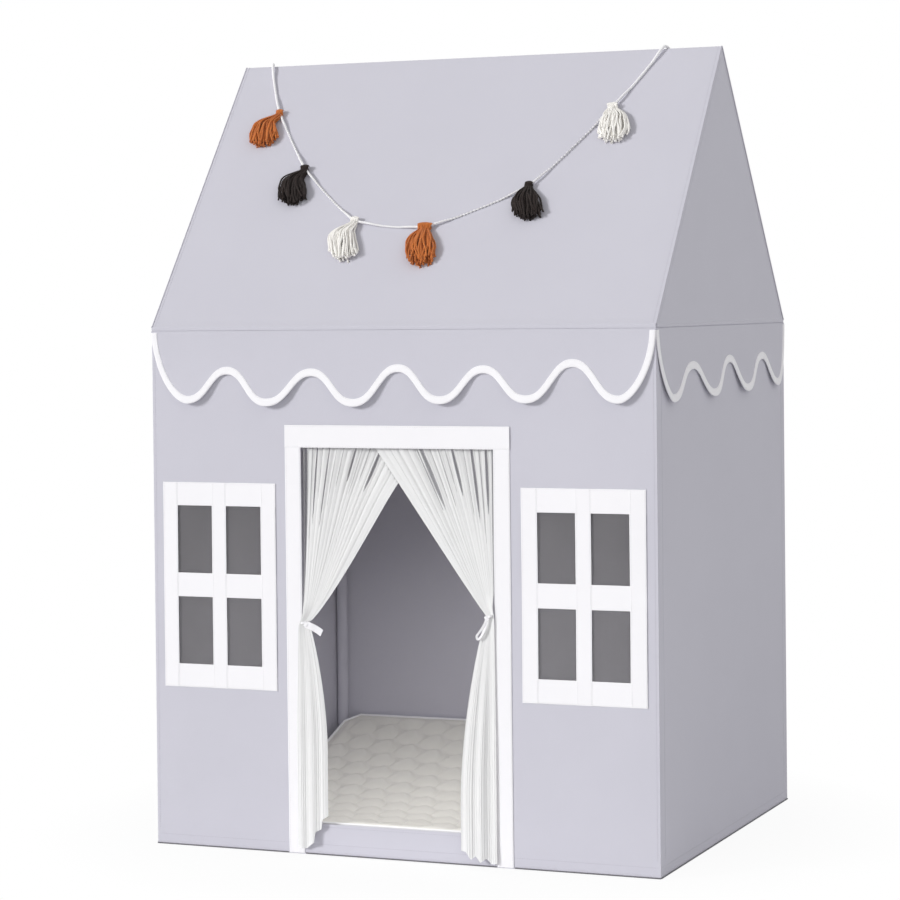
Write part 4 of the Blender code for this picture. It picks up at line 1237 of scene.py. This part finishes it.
def tie(side, sx):
    z, y = WAISTS[side], curtain_depth(WAISTS[side])
    outer, inner = curtain_edges(side, z)
    outer -= 0.0035
    middle, half_x, half_y = (outer + inner) / 2, (outer - inner) / 2 + 0.0004, 0.0044
    band = []
    for k in range(25):
        turn = 2 * math.pi * k / 24
        x, forward = sx * middle + half_x * math.cos(turn), 0.0022 * (1 + sx * math.cos(turn))
        band.append(Vector((x, y - forward + half_y * math.sin(turn), z + 0.0012 * math.cos(turn))))
    runs = [ribbon(band, [UP * RIBBON_WIDTH] * len(band))]
    knot = Vector((sx * (WAIST_INNER[side] + 0.0025), y - half_y - 0.0008, z - 0.003))
    if side == "left":
        route, _ = smooth_route([knot + Vector(step) for step in TAIL_STEPS], 6)
        wides = [Vector((0.0054, -0.0008, 0.0108))] * len(route)
    else:
        route, _ = smooth_route([knot + Vector(step) for step in LOOP_STEPS], 5)
        courses = [heading(route, k) for k in range(len(route))]
        wides = [Vector((-ahead.z, 0.3, ahead.x)).normalized() * RIBBON_WIDTH for ahead in courses]
    runs.append(ribbon(route, wides))
    steps = [(-0.0025 * sx, -0.0004, 0.0030), (0, -0.0014, 0), (0.0025 * sx, -0.0004, -0.0030)]
    bead = [knot + Vector(step) for step in steps]
    runs.append(ribbon(bead, [Vector((sx * 0.0040, 0, 0.0034))] * 3, 0.0022))
    return sweep(f"ribbon_tie_{side}", runs, cotton_white)


for side, sx in SIDES.items():
    piece = tie(side, sx)
    settle(piece, f"{side}_curtain_panel", f"curtain_tie_{side}", slot="white_cotton")
    print("tie", side, len(piece.data.polygons), "faces")

# %% [markdown]
# ## Quilted mat
#
# The floor mat is cream cotton over thin wadding, quilted in scales like a fish's, with a white
# piped edge. The wadding puffs between the stitch lines, and a flat mat with a bump map would lose
# that in low light. So the mat is a fine grid whose height comes from the distance to the nearest
# stitch line. Its front edge rides up over the front rail to the top of the sill, and its back edge
# curls up the back wall.

# %% Mat
MAT_X, MAT_Y, MAT_CORNER = 0.4322, 0.3562, 0.024
MAT_FOOT, MAT_EDGE, SWELL, PUFF = 0.0010, 0.0125, 0.0050, 0.0068
PUFF_REACH, PUFF_ROUND, MAT_GRID = 0.0075, 1.6, 0.0034
SCALE_W, SCALE_H, SCALE_TURN = 0.053, 0.050, math.radians(48)
quilt_cream = woven_finish("cream_quilted_cotton", (0.87, 0.85, 0.795), (0.79, 0.765, 0.705), 0.0008, 0.2)


def turned(x, y, way=1):
    """A place in the rows' own directions, or with way -1 a place of the rows on the mat."""
    c, s = math.cos(SCALE_TURN), way * math.sin(SCALE_TURN)
    return x * c + y * s, y * c - x * s


def scale_arc(x, y):
    """How far a place is from the nearest scale's stitch line."""
    x, y = turned(x, y)
    band = math.floor(-y / SCALE_H)
    q = -y / SCALE_H - band
    shifted = x / SCALE_W + 0.5 * (band % 2)
    p = 2 * (shifted - math.floor(shifted)) - 1
    return abs(math.hypot(p, q) - 1) * SCALE_W / 2


def past_corner(x, y):
    """How far a place is past the cut-off corner, added over both directions."""
    return abs(x) + abs(y) - (MAT_X + MAT_Y - MAT_CORNER)


def mat_edge(x, y):
    return min(MAT_X - abs(x), MAT_Y - abs(y), -past_corner(x, y) / math.sqrt(2))


def ride_up(point):
    """Lifts the mat's front edge over the rail to the top of the sill, and its back edge up the wall."""
    share = ease((-point.y - MAT_Y + 0.055) / 0.05)
    back = max((point.y + 0.12) / (MAT_Y + 0.12), 0)
    lean = 0.018 * back**3 - 0.0135 * share
    return point + Vector((0, lean, 0.0400 * share + 0.106 * back**1.9))


def mat_top(x, y):
    over = max(past_corner(x, y), 0) / 2
    x, y = x - math.copysign(over, x), y - math.copysign(over, y)
    edge = max(mat_edge(x, y), 0)
    puff = 1 - math.exp(-((scale_arc(x, y) / PUFF_REACH) ** PUFF_ROUND))
    z = MAT_EDGE + SWELL * ease(edge / 0.018) + PUFF * puff * ease((edge - 0.006) / 0.022)
    return ride_up(Vector((x, y, z))), (x, y)


print("a scale is", SCALE_W, "by", SCALE_H, "m and", round(1000 * PUFF, 1), "mm high")

# %% [markdown]
# ### The mat as one closed piece
#
# A mat is closed cloth with a filling, so its mesh is closed too. The underside is a copy of the
# top's grid, laid flat, and a band of faces joins the two rims. One large face would be lighter, but
# it would span straight over the raised edges and hide the quilting.

# %% Mat mesh
def open_edges(items):
    return [item for item in items if isinstance(item, bmesh.types.BMEdge) and len(item.link_faces) == 1]


def make_mat():
    us, vs = stops([-MAT_X, MAT_X], MAT_GRID), stops([-MAT_Y, MAT_Y], MAT_GRID)
    piece = cloth("quilted_mat", us, vs, mat_top, CANVAS, quilt_cream)
    piece.modifiers.clear()
    with edited(piece) as bm:
        coords = bm.loops.layers.uv["Cloth"]
        for edge in bm.edges:
            edge.smooth = True
        places = {vert: vert.link_loops[0][coords].uv.copy() for vert in bm.verts}
        rim = open_edges(bm.edges)
        under = bmesh.ops.duplicate(bm, geom=bm.faces[:])
        for vert, below in under["vert_map"].items():
            if vert in places:
                below.co = ride_up(Vector((*(places[vert] * 0.994), MAT_FOOT)))
        made = bmesh.ops.extrude_edge_only(bm, edges=rim)["geom"]
        for item in made:
            if isinstance(item, bmesh.types.BMVert):
                item.co += Vector((item.co.x * 0.001, item.co.y * 0.001, -0.006))
        bmesh.ops.bridge_loops(bm, edges=open_edges(made) + open_edges(under["geom"]))
        for face in bm.faces:
            for corner in face.loops:
                if corner[coords].uv.length == 0:
                    corner[coords].uv = corner.vert.co.xy
            face.smooth = True
        bmesh.ops.recalc_face_normals(bm, faces=bm.faces)
    return piece


mat = make_mat()
settle(mat, "tent", "mat", slot="cream_quilt")
print("mat", len(mat.data.polygons), "faces")

# %% [markdown]
# ### Piping and quilting thread
#
# The piping is a soft cord sewn into the rim, so it is swept along the rim's own path and rises with
# it. The quilting is sewn in half circles, one for each scale, with the same beads as the seams. An
# arc is broken off where it would run into the edge.

# %% Mat piping and quilting thread
PIPING_HEIGHT = 0.0120
short_x, short_y = MAT_X - MAT_CORNER, MAT_Y - MAT_CORNER
rim = [(-MAT_X, -short_y), (-MAT_X, short_y), (-short_x, MAT_Y), (short_x, MAT_Y)]
rim += [(-x, -y) for x, y in rim]
round_rim = []
for a, b in zip(rim, rim[1:] + rim[:1]):
    round_rim += places_between(a, b, max(2, round(math.dist(a, b) / 0.02)))
piping_path = [ride_up(Vector((x, y, PIPING_HEIGHT))) for x, y in round_rim]
piping = thread("mat_piping", [piping_path], cord_white, 0.0028, sides=10, closed=True)
settle(piping, "tent", slot="cream_quilt")
arcs = []
reach = math.ceil(math.hypot(MAT_X, MAT_Y) / SCALE_H)
for band in range(-reach, reach):
    for k in range(-reach, reach):
        middle = (k + 0.5 - 0.5 * (band % 2)) * SCALE_W
        arc = []
        for i in range(15):
            turn = math.pi * i / 14
            across, down = middle + SCALE_W / 2 * math.cos(turn), -(band + math.sin(turn)) * SCALE_H
            x, y = turned(across, down, -1)
            if mat_edge(x, y) > 0.006:
                arc.append(mat_top(x, y)[0] + UP * SEWN_LIFT)
            elif len(arc) > 1:
                break
        if len(arc) > 3:
            arcs.append(arc)
quilting = stitches("quilting_stitches", arcs, thread_white, pitch=0.0050, length=0.0036, thickness=0.0006)
settle(quilting, "tent", slot="cream_quilt")
print("quilting:", len(arcs), "scales,", len(quilting.data.polygons) // 20, "stitches")

# %% [markdown]
# ## A painted shadow line at the foot
#
# The walls end on the floor, and the fine dark line along each wall's foot is shade where the cloth
# meets it. That shade is painted: a thin dark grey thread runs along each wall's foot as a painted
# shadow, so the line is there whatever the light. It leaves the doorway's jambs free.

# %% Painted shadow line at the foot
foot = []
for name, (out, distance, width) in WALLS.items():
    spans = [(-width / 2, width / 2)]
    if name == "front":
        spans = [(-HALF_X, -JAMB_OUT), (-SILL_END, SILL_END), (JAMB_OUT, HALF_X)]
    base = out * (distance + 0.0009) + UP * 0.0014
    foot += [[base + UP.cross(out) * s for s in stops(span, 0.03)] for span in spans]
# A thin dark thread as a painted shadow, where the walls meet the floor.
painted_foot_shadow = thread("painted_foot_shadow", foot, foot_shadow_thread, 0.0011)
settle(painted_foot_shadow, "tent", slot="grey_canvas")
print("foot hem", len(painted_foot_shadow.data.polygons), "faces")

# %% [markdown]
# ## Pole sleeves and frame
#
# The posts stand in cloth sleeves sewn into the corners. A sleeve is a tube of canvas a little wider
# than the post, and it creases across where it is slack. So it is a sheet wrapped round the post,
# closed along its seam, with noise that fades out at both hems.

# %% Sleeves
SLEEVE, SLACK, THIN_CANVAS = 0.0108, 0.0006, 0.0010
for side in SIDES:
    for end in ENDS:
        low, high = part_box(f"post_sleeve_{end}_{side}")
        cx, cy = (low.x + high.x) / 2, (low.y + high.y) / 2

        def sleeve(turn, z, cx=cx, cy=cy, low=low, high=high):
            c, s = math.cos(turn), math.sin(turn)
            slack = noise.noise(Vector((c * 1.2, s * 1.2, z * 22 + cx * 9 + cy * 5)))
            radius = SLEEVE + SLACK * slack * ease(min(z - low.z, high.z - z) / 0.03)
            return Vector((cx + radius * c, cy + radius * s, z)), (turn * SLEEVE, z)

        turns = [2 * math.pi * k / 20 for k in range(21)]
        heights = stops([low.z, high.z], 0.012)
        piece = cloth(f"canvas_sleeve_{end}_{side}", turns, heights, sleeve, THIN_CANVAS, canvas_grey)
        with edited(piece) as bm:
            bmesh.ops.remove_doubles(bm, verts=bm.verts, dist=1e-6)
        settle(piece, "tent", f"post_sleeve_{end}_{side}", slot="grey_canvas")
        size = (0.068, round(high.z - low.z, 3))
print("sleeves", round(high.z - low.z, 3), "m long")

# %% [markdown]
# ### Plastic tubes and mouldings
#
# The tubes and the moulded corners keep their CAD shapes. They are hard plastic, so new meshes would
# add nothing, and they only need a finish. Handling leaves fine scuffs, which are slightly duller and
# darker than the rest.

# %% Frame finishes
def plastic_finish(name, light, dark, roughness):
    material, tree, shader = new_finish(name, roughness, 0.0)
    scuffs = speckle(tree, 240.0, 4.0)
    tint(tree, shader, light, dark, scuffs)
    tree.links.new(calc(tree, "MULTIPLY_ADD", scuffs, 0.18, roughness - 0.09), shader.inputs["Roughness"])
    raise_threads(tree, shader, speckle(tree, 90.0), 0.08, 0.0004)
    shader.inputs["Specular IOR Level"].default_value = 0.5
    return material


tube_plastic = plastic_finish("white_tube_plastic", (0.84, 0.84, 0.84), (0.76, 0.76, 0.76), 0.38)
joint_plastic = plastic_finish("grey_joint_moulding", (0.62, 0.62, 0.64), (0.54, 0.54, 0.56), 0.48)
for name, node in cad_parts.items():
    moulded = "connector" in name
    if moulded or name.startswith(("post_", "rafter_", "base_rail", "eave_rail", "ridge_pole")):
        node.data.materials.clear()
        node.data.materials.append(joint_plastic if moulded else tube_plastic)
print("frame finished")

# %% [markdown]
# ## Yarn tassels
#
# Six tassels hang on the cord: rust, near-black, cream, rust, near-black and cream. Each is a skein
# of thick two-ply yarn folded over the cord, so its strands come over the top, are drawn together
# just below it, and fan out to cut ends. A solid teardrop would look like clay. So every strand is a
# path of its own with its own length and wander, and the thread tree twists its two plies.

# %% Tassel shapes
TASSEL_LENGTH, TASSEL_WIDTH, TASSEL_THICK = 0.092, 0.053, 0.018
YARN, YARN_AT_NECK, WANDER, SPREAD = 0.0016, 0.0012, 0.0011, 0.0060
OUTLINE = [
    (0.0, 0.21, 0.50), (0.12, 0.36, 0.64), (0.28, 0.61, 0.84),
    (0.50, 0.83, 0.97), (0.76, 1.0, 1.0), (1.0, 0.96, 0.88),
]
WIDTHS, THICKS = [(t, width) for t, width, _ in OUTLINE], [(t, thick) for t, _, thick in OUTLINE]
RINGS = ((1.0, 31), (0.76, 24), (0.50, 16), (0.22, 8))
OVER_CORD = ((0.0060, 0.0012), (0.0050, 0.0036), (0.0022, 0.0045))


def strand_paths(place, size, head, bulge, drift, seed):
    """Paths and radii of a tassel's strands, in the tent's own coordinates."""
    down, wide = ROOF_DOWN, ROOF_OUT.cross(ROOF_DOWN)
    pick = random.Random(seed)
    paths, radii = [], []
    for ring, count in RINGS:
        for k in range(count):
            angle = 2 * math.pi * (k + pick.uniform(-0.35, 0.35)) / count
            a, b = ring * math.cos(angle), ring * math.sin(angle)
            reach = TASSEL_LENGTH * size * (1 - 0.17 * a * a) * pick.uniform(0.84, 1.0)
            bow, lean = pick.uniform(-SPREAD, SPREAD), pick.uniform(-SPREAD, SPREAD)
            wander = pick.uniform(0, 2 * math.pi)
            path = []
            if b > 0.1:
                round_off = math.sqrt(1 - 0.6 * a * a)
                for up, off in OVER_CORD:
                    lifted = ROOF_OUT * (off + 0.0004 * b) + wide * a * head / 2
                    path.append(place - down * up * round_off + lifted)
                radii += [0.62, 0.66, 0.70]
            for i in range(14):
                t = 0.06 + 0.94 * i / 13
                width, thick = between(WIDTHS, t) * TASSEL_WIDTH / 2, between(THICKS, t) * TASSEL_THICK / 2
                radius = YARN_AT_NECK + (YARN - YARN_AT_NECK) * ease((t - 0.1) / 0.4)
                across = a * max(width - radius, head / 2 * (1 - t * 2.4))
                across += bulge * ease(t / 0.42) + drift * t * t
                across += bow * math.sin(math.pi * t) + lean * t**3 + WANDER * math.sin(10 * t + wander)
                height = thick - EYE_RADIUS + b * (thick - radius) + 0.0006 * math.sin(7 * t + wander)
                height = max(height, radius - EYE_RADIUS + 0.0001)
                path.append(place + down * reach * t + wide * across + ROOF_OUT * height)
                radii.append(radius / YARN)
            paths.append(path)
    return paths, radii


def refine(paths, radii, parts=3):
    """More points on each path, on a smooth curve, with radii to match."""
    fine_paths, fine_radii, first = [], [], 0
    for path in paths:
        own = radii[first : first + len(path)]
        first += len(path)
        fine, _ = smooth_route(path, parts)
        for i in range(len(fine)):
            k, past = divmod(i, parts)
            after = own[min(k + 1, len(own) - 1)]
            fine_radii.append(own[k] + (after - own[k]) * past / parts)
        fine_paths.append(fine)
    return fine_paths, fine_radii


print("a tassel has", sum(count for _, count in RINGS), "strands")

# %% [markdown]
# ### The six tassels
#
# Tassels tied by hand differ, so six copies of one would look wrong. The table gives each tassel's
# yarn, its share of the full length, its head's width, how far its body swells to one side and how
# far its end drifts. An eye of five turns of the same yarn lies round the cord.

# %% Tassels
EYE_YARN, EYE_RING = 0.0013, 0.0045
CIRCLE = [2 * math.pi * i / 16 for i in range(16)]
TASSELS = [
    (rust_yarn, "rust_yarn", 0.88, 0.011, -0.023, 0.008),
    (black_yarn, "black_yarn", 0.94, 0.014, -0.016, 0.014),
    (cream_yarn, "cream_yarn", 1.01, 0.014, -0.017, 0.018),
    (rust_yarn, "rust_yarn", 0.97, 0.025, -0.002, 0.014),
    (black_yarn, "black_yarn", 0.84, 0.012, 0.001, 0.012),
    (cream_yarn, "cream_yarn", 0.91, 0.018, 0.009, 0.007),
]
on_cord = []
for number, ((place, along), (yarn, slot, size, head, bulge, drift)) in enumerate(zip(hangers, TASSELS), 1):
    paths, radii = refine(*strand_paths(place, size, head, bulge, drift, 40 + number))
    tassel = thread(f"yarn_tassel_{number}", paths, yarn, YARN, 2, 0.17, 0.009, 8, radii)
    settle(tassel, f"garland_tassel_{number}", f"tassel_{number}", slot=slot)
    side = along.cross(ROOF_OUT).normalized()
    over = side.cross(along)
    turns = []
    for k in range(-2, 3):
        centre, ring = place + along * k * head / 5.2, EYE_RING - 0.0003 * k * k
        turns.append([centre + (side * math.cos(t) + over * math.sin(t)) * ring for t in CIRCLE])
    eye = thread(f"tassel_eye_{number}", turns, yarn, EYE_YARN, 2, 0.1, 0.0129, 8, closed=True)
    settle(eye, f"garland_tassel_{number}", slot=slot)
    on_cord += [tassel, eye]
    print("tassel", number, len(paths), "strands,", len(tassel.data.polygons), "faces")
tuple(line[0])
[tuple(point) for point in line]

# %% [markdown]
# ## Where the cord is sewn down
#
# Behind the ridge each end of the cord goes under a small canvas patch that is stitched to the roof.
# A flat square would cut through the cord. The patch is a sheet that bulges over it, so it is the
# same cloth grid, lifted by the cord's own height along its middle.

# %% Cord patches
PATCH_EDGE, PATCH_RISE, PATCH_GRID = 0.0019, 0.0048, 0.0011
ends = {"left": (line[0], line[12]), "right": (line[-1], line[-13])}
back_out = Vector((0, math.sin(SLOPE), math.cos(SLOPE)))
patch_rows = []
for side, (tip, inner) in ends.items():
    lay = (tip - inner).normalized()
    sideways = lay.cross(back_out)
    foot = tip - back_out * CORD_HEIGHT

    def patch(u, v, foot=foot, lay=lay, sideways=sideways, lift=0.0):
        over = math.exp(-((u / 0.0042) ** 2)) * ease((0.0075 - v) / 0.006)
        rise = PATCH_EDGE + PATCH_RISE * over + lift
        return foot + sideways * u + lay * v + back_out * rise, (u, v)

    us, vs = stops([-0.011, 0.011], PATCH_GRID), stops([-0.012, 0.010], PATCH_GRID)
    piece = cloth(f"cord_patch_{side}", us, vs, patch, THIN_CANVAS, canvas_grey)
    settle(piece, "tent", slot="grey_canvas")
    loop = [(-0.0095, -0.0105), (-0.0095, 0.0085), (0.0095, 0.0085), (0.0095, -0.0105)]
    row = []
    for a, b in zip(loop, loop[1:] + loop[:1]):
        row += [patch(*spot, lift=0.0002)[0] for spot in places_between(a, b, 8)]
    patch_rows.append(row)
patch_stitches = stitches("patch_stitches", patch_rows, thread_grey, True, pitch=0.003, length=0.0022)
settle(patch_stitches, "tent", slot="grey_canvas")
print("patches sewn with", len(patch_stitches.data.polygons) // 20, "stitches")

# %% [markdown]
# ## What every sheet was cut to
#
# Each wall is a sheet of cloth too. Its cut size is the wall's width and height, less the openings
# in the front, and the real cloth has a hem besides. It is worked out here, since the openings' area
# is known only once they are all listed.

for name, (out, distance, width) in WALLS.items():
    area = width * WALL_TOP - (cut_area if name == "front" else 0)
    size = (round(width, 4), WALL_TOP)
    print("wall", name, "cut", round(area, 4), "square metres")

# %% [markdown]
# ## Floor, backdrop and light
#
# The photograph has a white ground. A floor lit up to white would throw light on the cloth, so it is
# a pale matt disc that keeps the tent's shadow close to it and shows plain white far away. It does so
# only to the camera and to reflections, and the world is made in the same way.

# %% Floor
WHITE = (1, 1, 1, 1)


def in_sight(tree):
    """1 for a ray from the camera, from a reflection or through clear matter, and 0 for light."""
    rays = add(tree, "ShaderNodeLightPath").outputs
    seen = calc(tree, "MAXIMUM", rays["Is Camera Ray"], rays["Is Glossy Ray"])
    return calc(tree, "MAXIMUM", seen, rays["Is Transmission Ray"])


def floor_finish():
    material = bpy.data.materials.new("plain_pale_floor")
    material.use_nodes = True
    tree = material.node_tree
    tree.nodes.clear()
    matt = add(tree, "ShaderNodeBsdfDiffuse", {"Color": (0.86, 0.86, 0.87, 1)}).outputs[0]
    white = add(tree, "ShaderNodeEmission", {"Color": WHITE, "Strength": 1.0}).outputs[0]
    place = add(tree, "ShaderNodeTexCoord").outputs["Object"]
    far = add(tree, "ShaderNodeVectorMath", {0: place}, operation="LENGTH").outputs["Value"]
    fade = calc(tree, "MINIMUM", calc(tree, "MULTIPLY_ADD", far, 0.25, 0.80), 1.0)
    share = calc(tree, "MULTIPLY", in_sight(tree), fade)
    mixed = add(tree, "ShaderNodeMixShader", {0: share, 1: matt, 2: white}).outputs[0]
    add(tree, "ShaderNodeOutputMaterial", {"Surface": mixed})
    return material


bm = bmesh.new()
bmesh.ops.create_circle(bm, cap_ends=True, segments=96, radius=14.0)
bmesh.ops.translate(bm, verts=bm.verts, vec=(0, 0, -0.0006))
floor = keep(bm, "floor", floor_finish())
print("floor", [round(size, 1) for size in floor.dimensions])

# %% [markdown]
# ### Suns, sky and the inside
#
# The light is soft and comes from the left in front of the door. A main sun with a wide disc gives the
# soft shadow under the valances, and a very wide second one stands for a reflector at the right. The
# cloth of a real roof lets some light through. Cloth that does would be slow to render, so a faint
# lamp under the roof stands for it. The sky gives the rest.

# %% Light
SKY = 0.42
SUNS = {"sun": (2.03, 15, (-0.70, -0.65, 0.30)), "side_fill": (0.66, 100, (0.90, -0.25, 0.35))}
world = bpy.data.worlds.new("studio")
bpy.context.scene.world = world
world.use_nodes = True
tree = world.node_tree
tree.nodes.clear()
soft = add(tree, "ShaderNodeBackground", {"Color": WHITE, "Strength": SKY}).outputs[0]
shown = add(tree, "ShaderNodeBackground", {"Color": WHITE, "Strength": 1.0}).outputs[0]
mixed = add(tree, "ShaderNodeMixShader", {0: in_sight(tree), 1: soft, 2: shown}).outputs[0]
add(tree, "ShaderNodeOutputWorld", {"Surface": mixed})


def new_lamp(name, kind, energy, **options):
    light = bpy.data.lights.new(name, kind)
    light.energy = energy
    for option, value in options.items():
        setattr(light, option, value)
    lamp = bpy.data.objects.new(name, light)
    bpy.context.scene.collection.objects.link(lamp)
    return lamp


for name, (energy, disc, toward) in SUNS.items():
    lamp = new_lamp(name, "SUN", energy, angle=math.radians(disc))
    lamp.rotation_mode = "QUATERNION"
    lamp.rotation_quaternion = Vector(toward).to_track_quat("Z", "Y")
area = {"shape": "RECTANGLE", "size": 0.40, "size_y": 0.10, "spread": math.radians(100)}
inside = new_lamp("inside_fill", "AREA", 1.25, **area)
inside.location = (0, -0.28, 0.78)
inside.rotation_euler = (math.radians(18), 0, 0)
inside.visible_camera = False
bpy.context.scene.view_settings.view_transform = "Standard"
print("suns:", ", ".join(SUNS), "and sky", SKY)
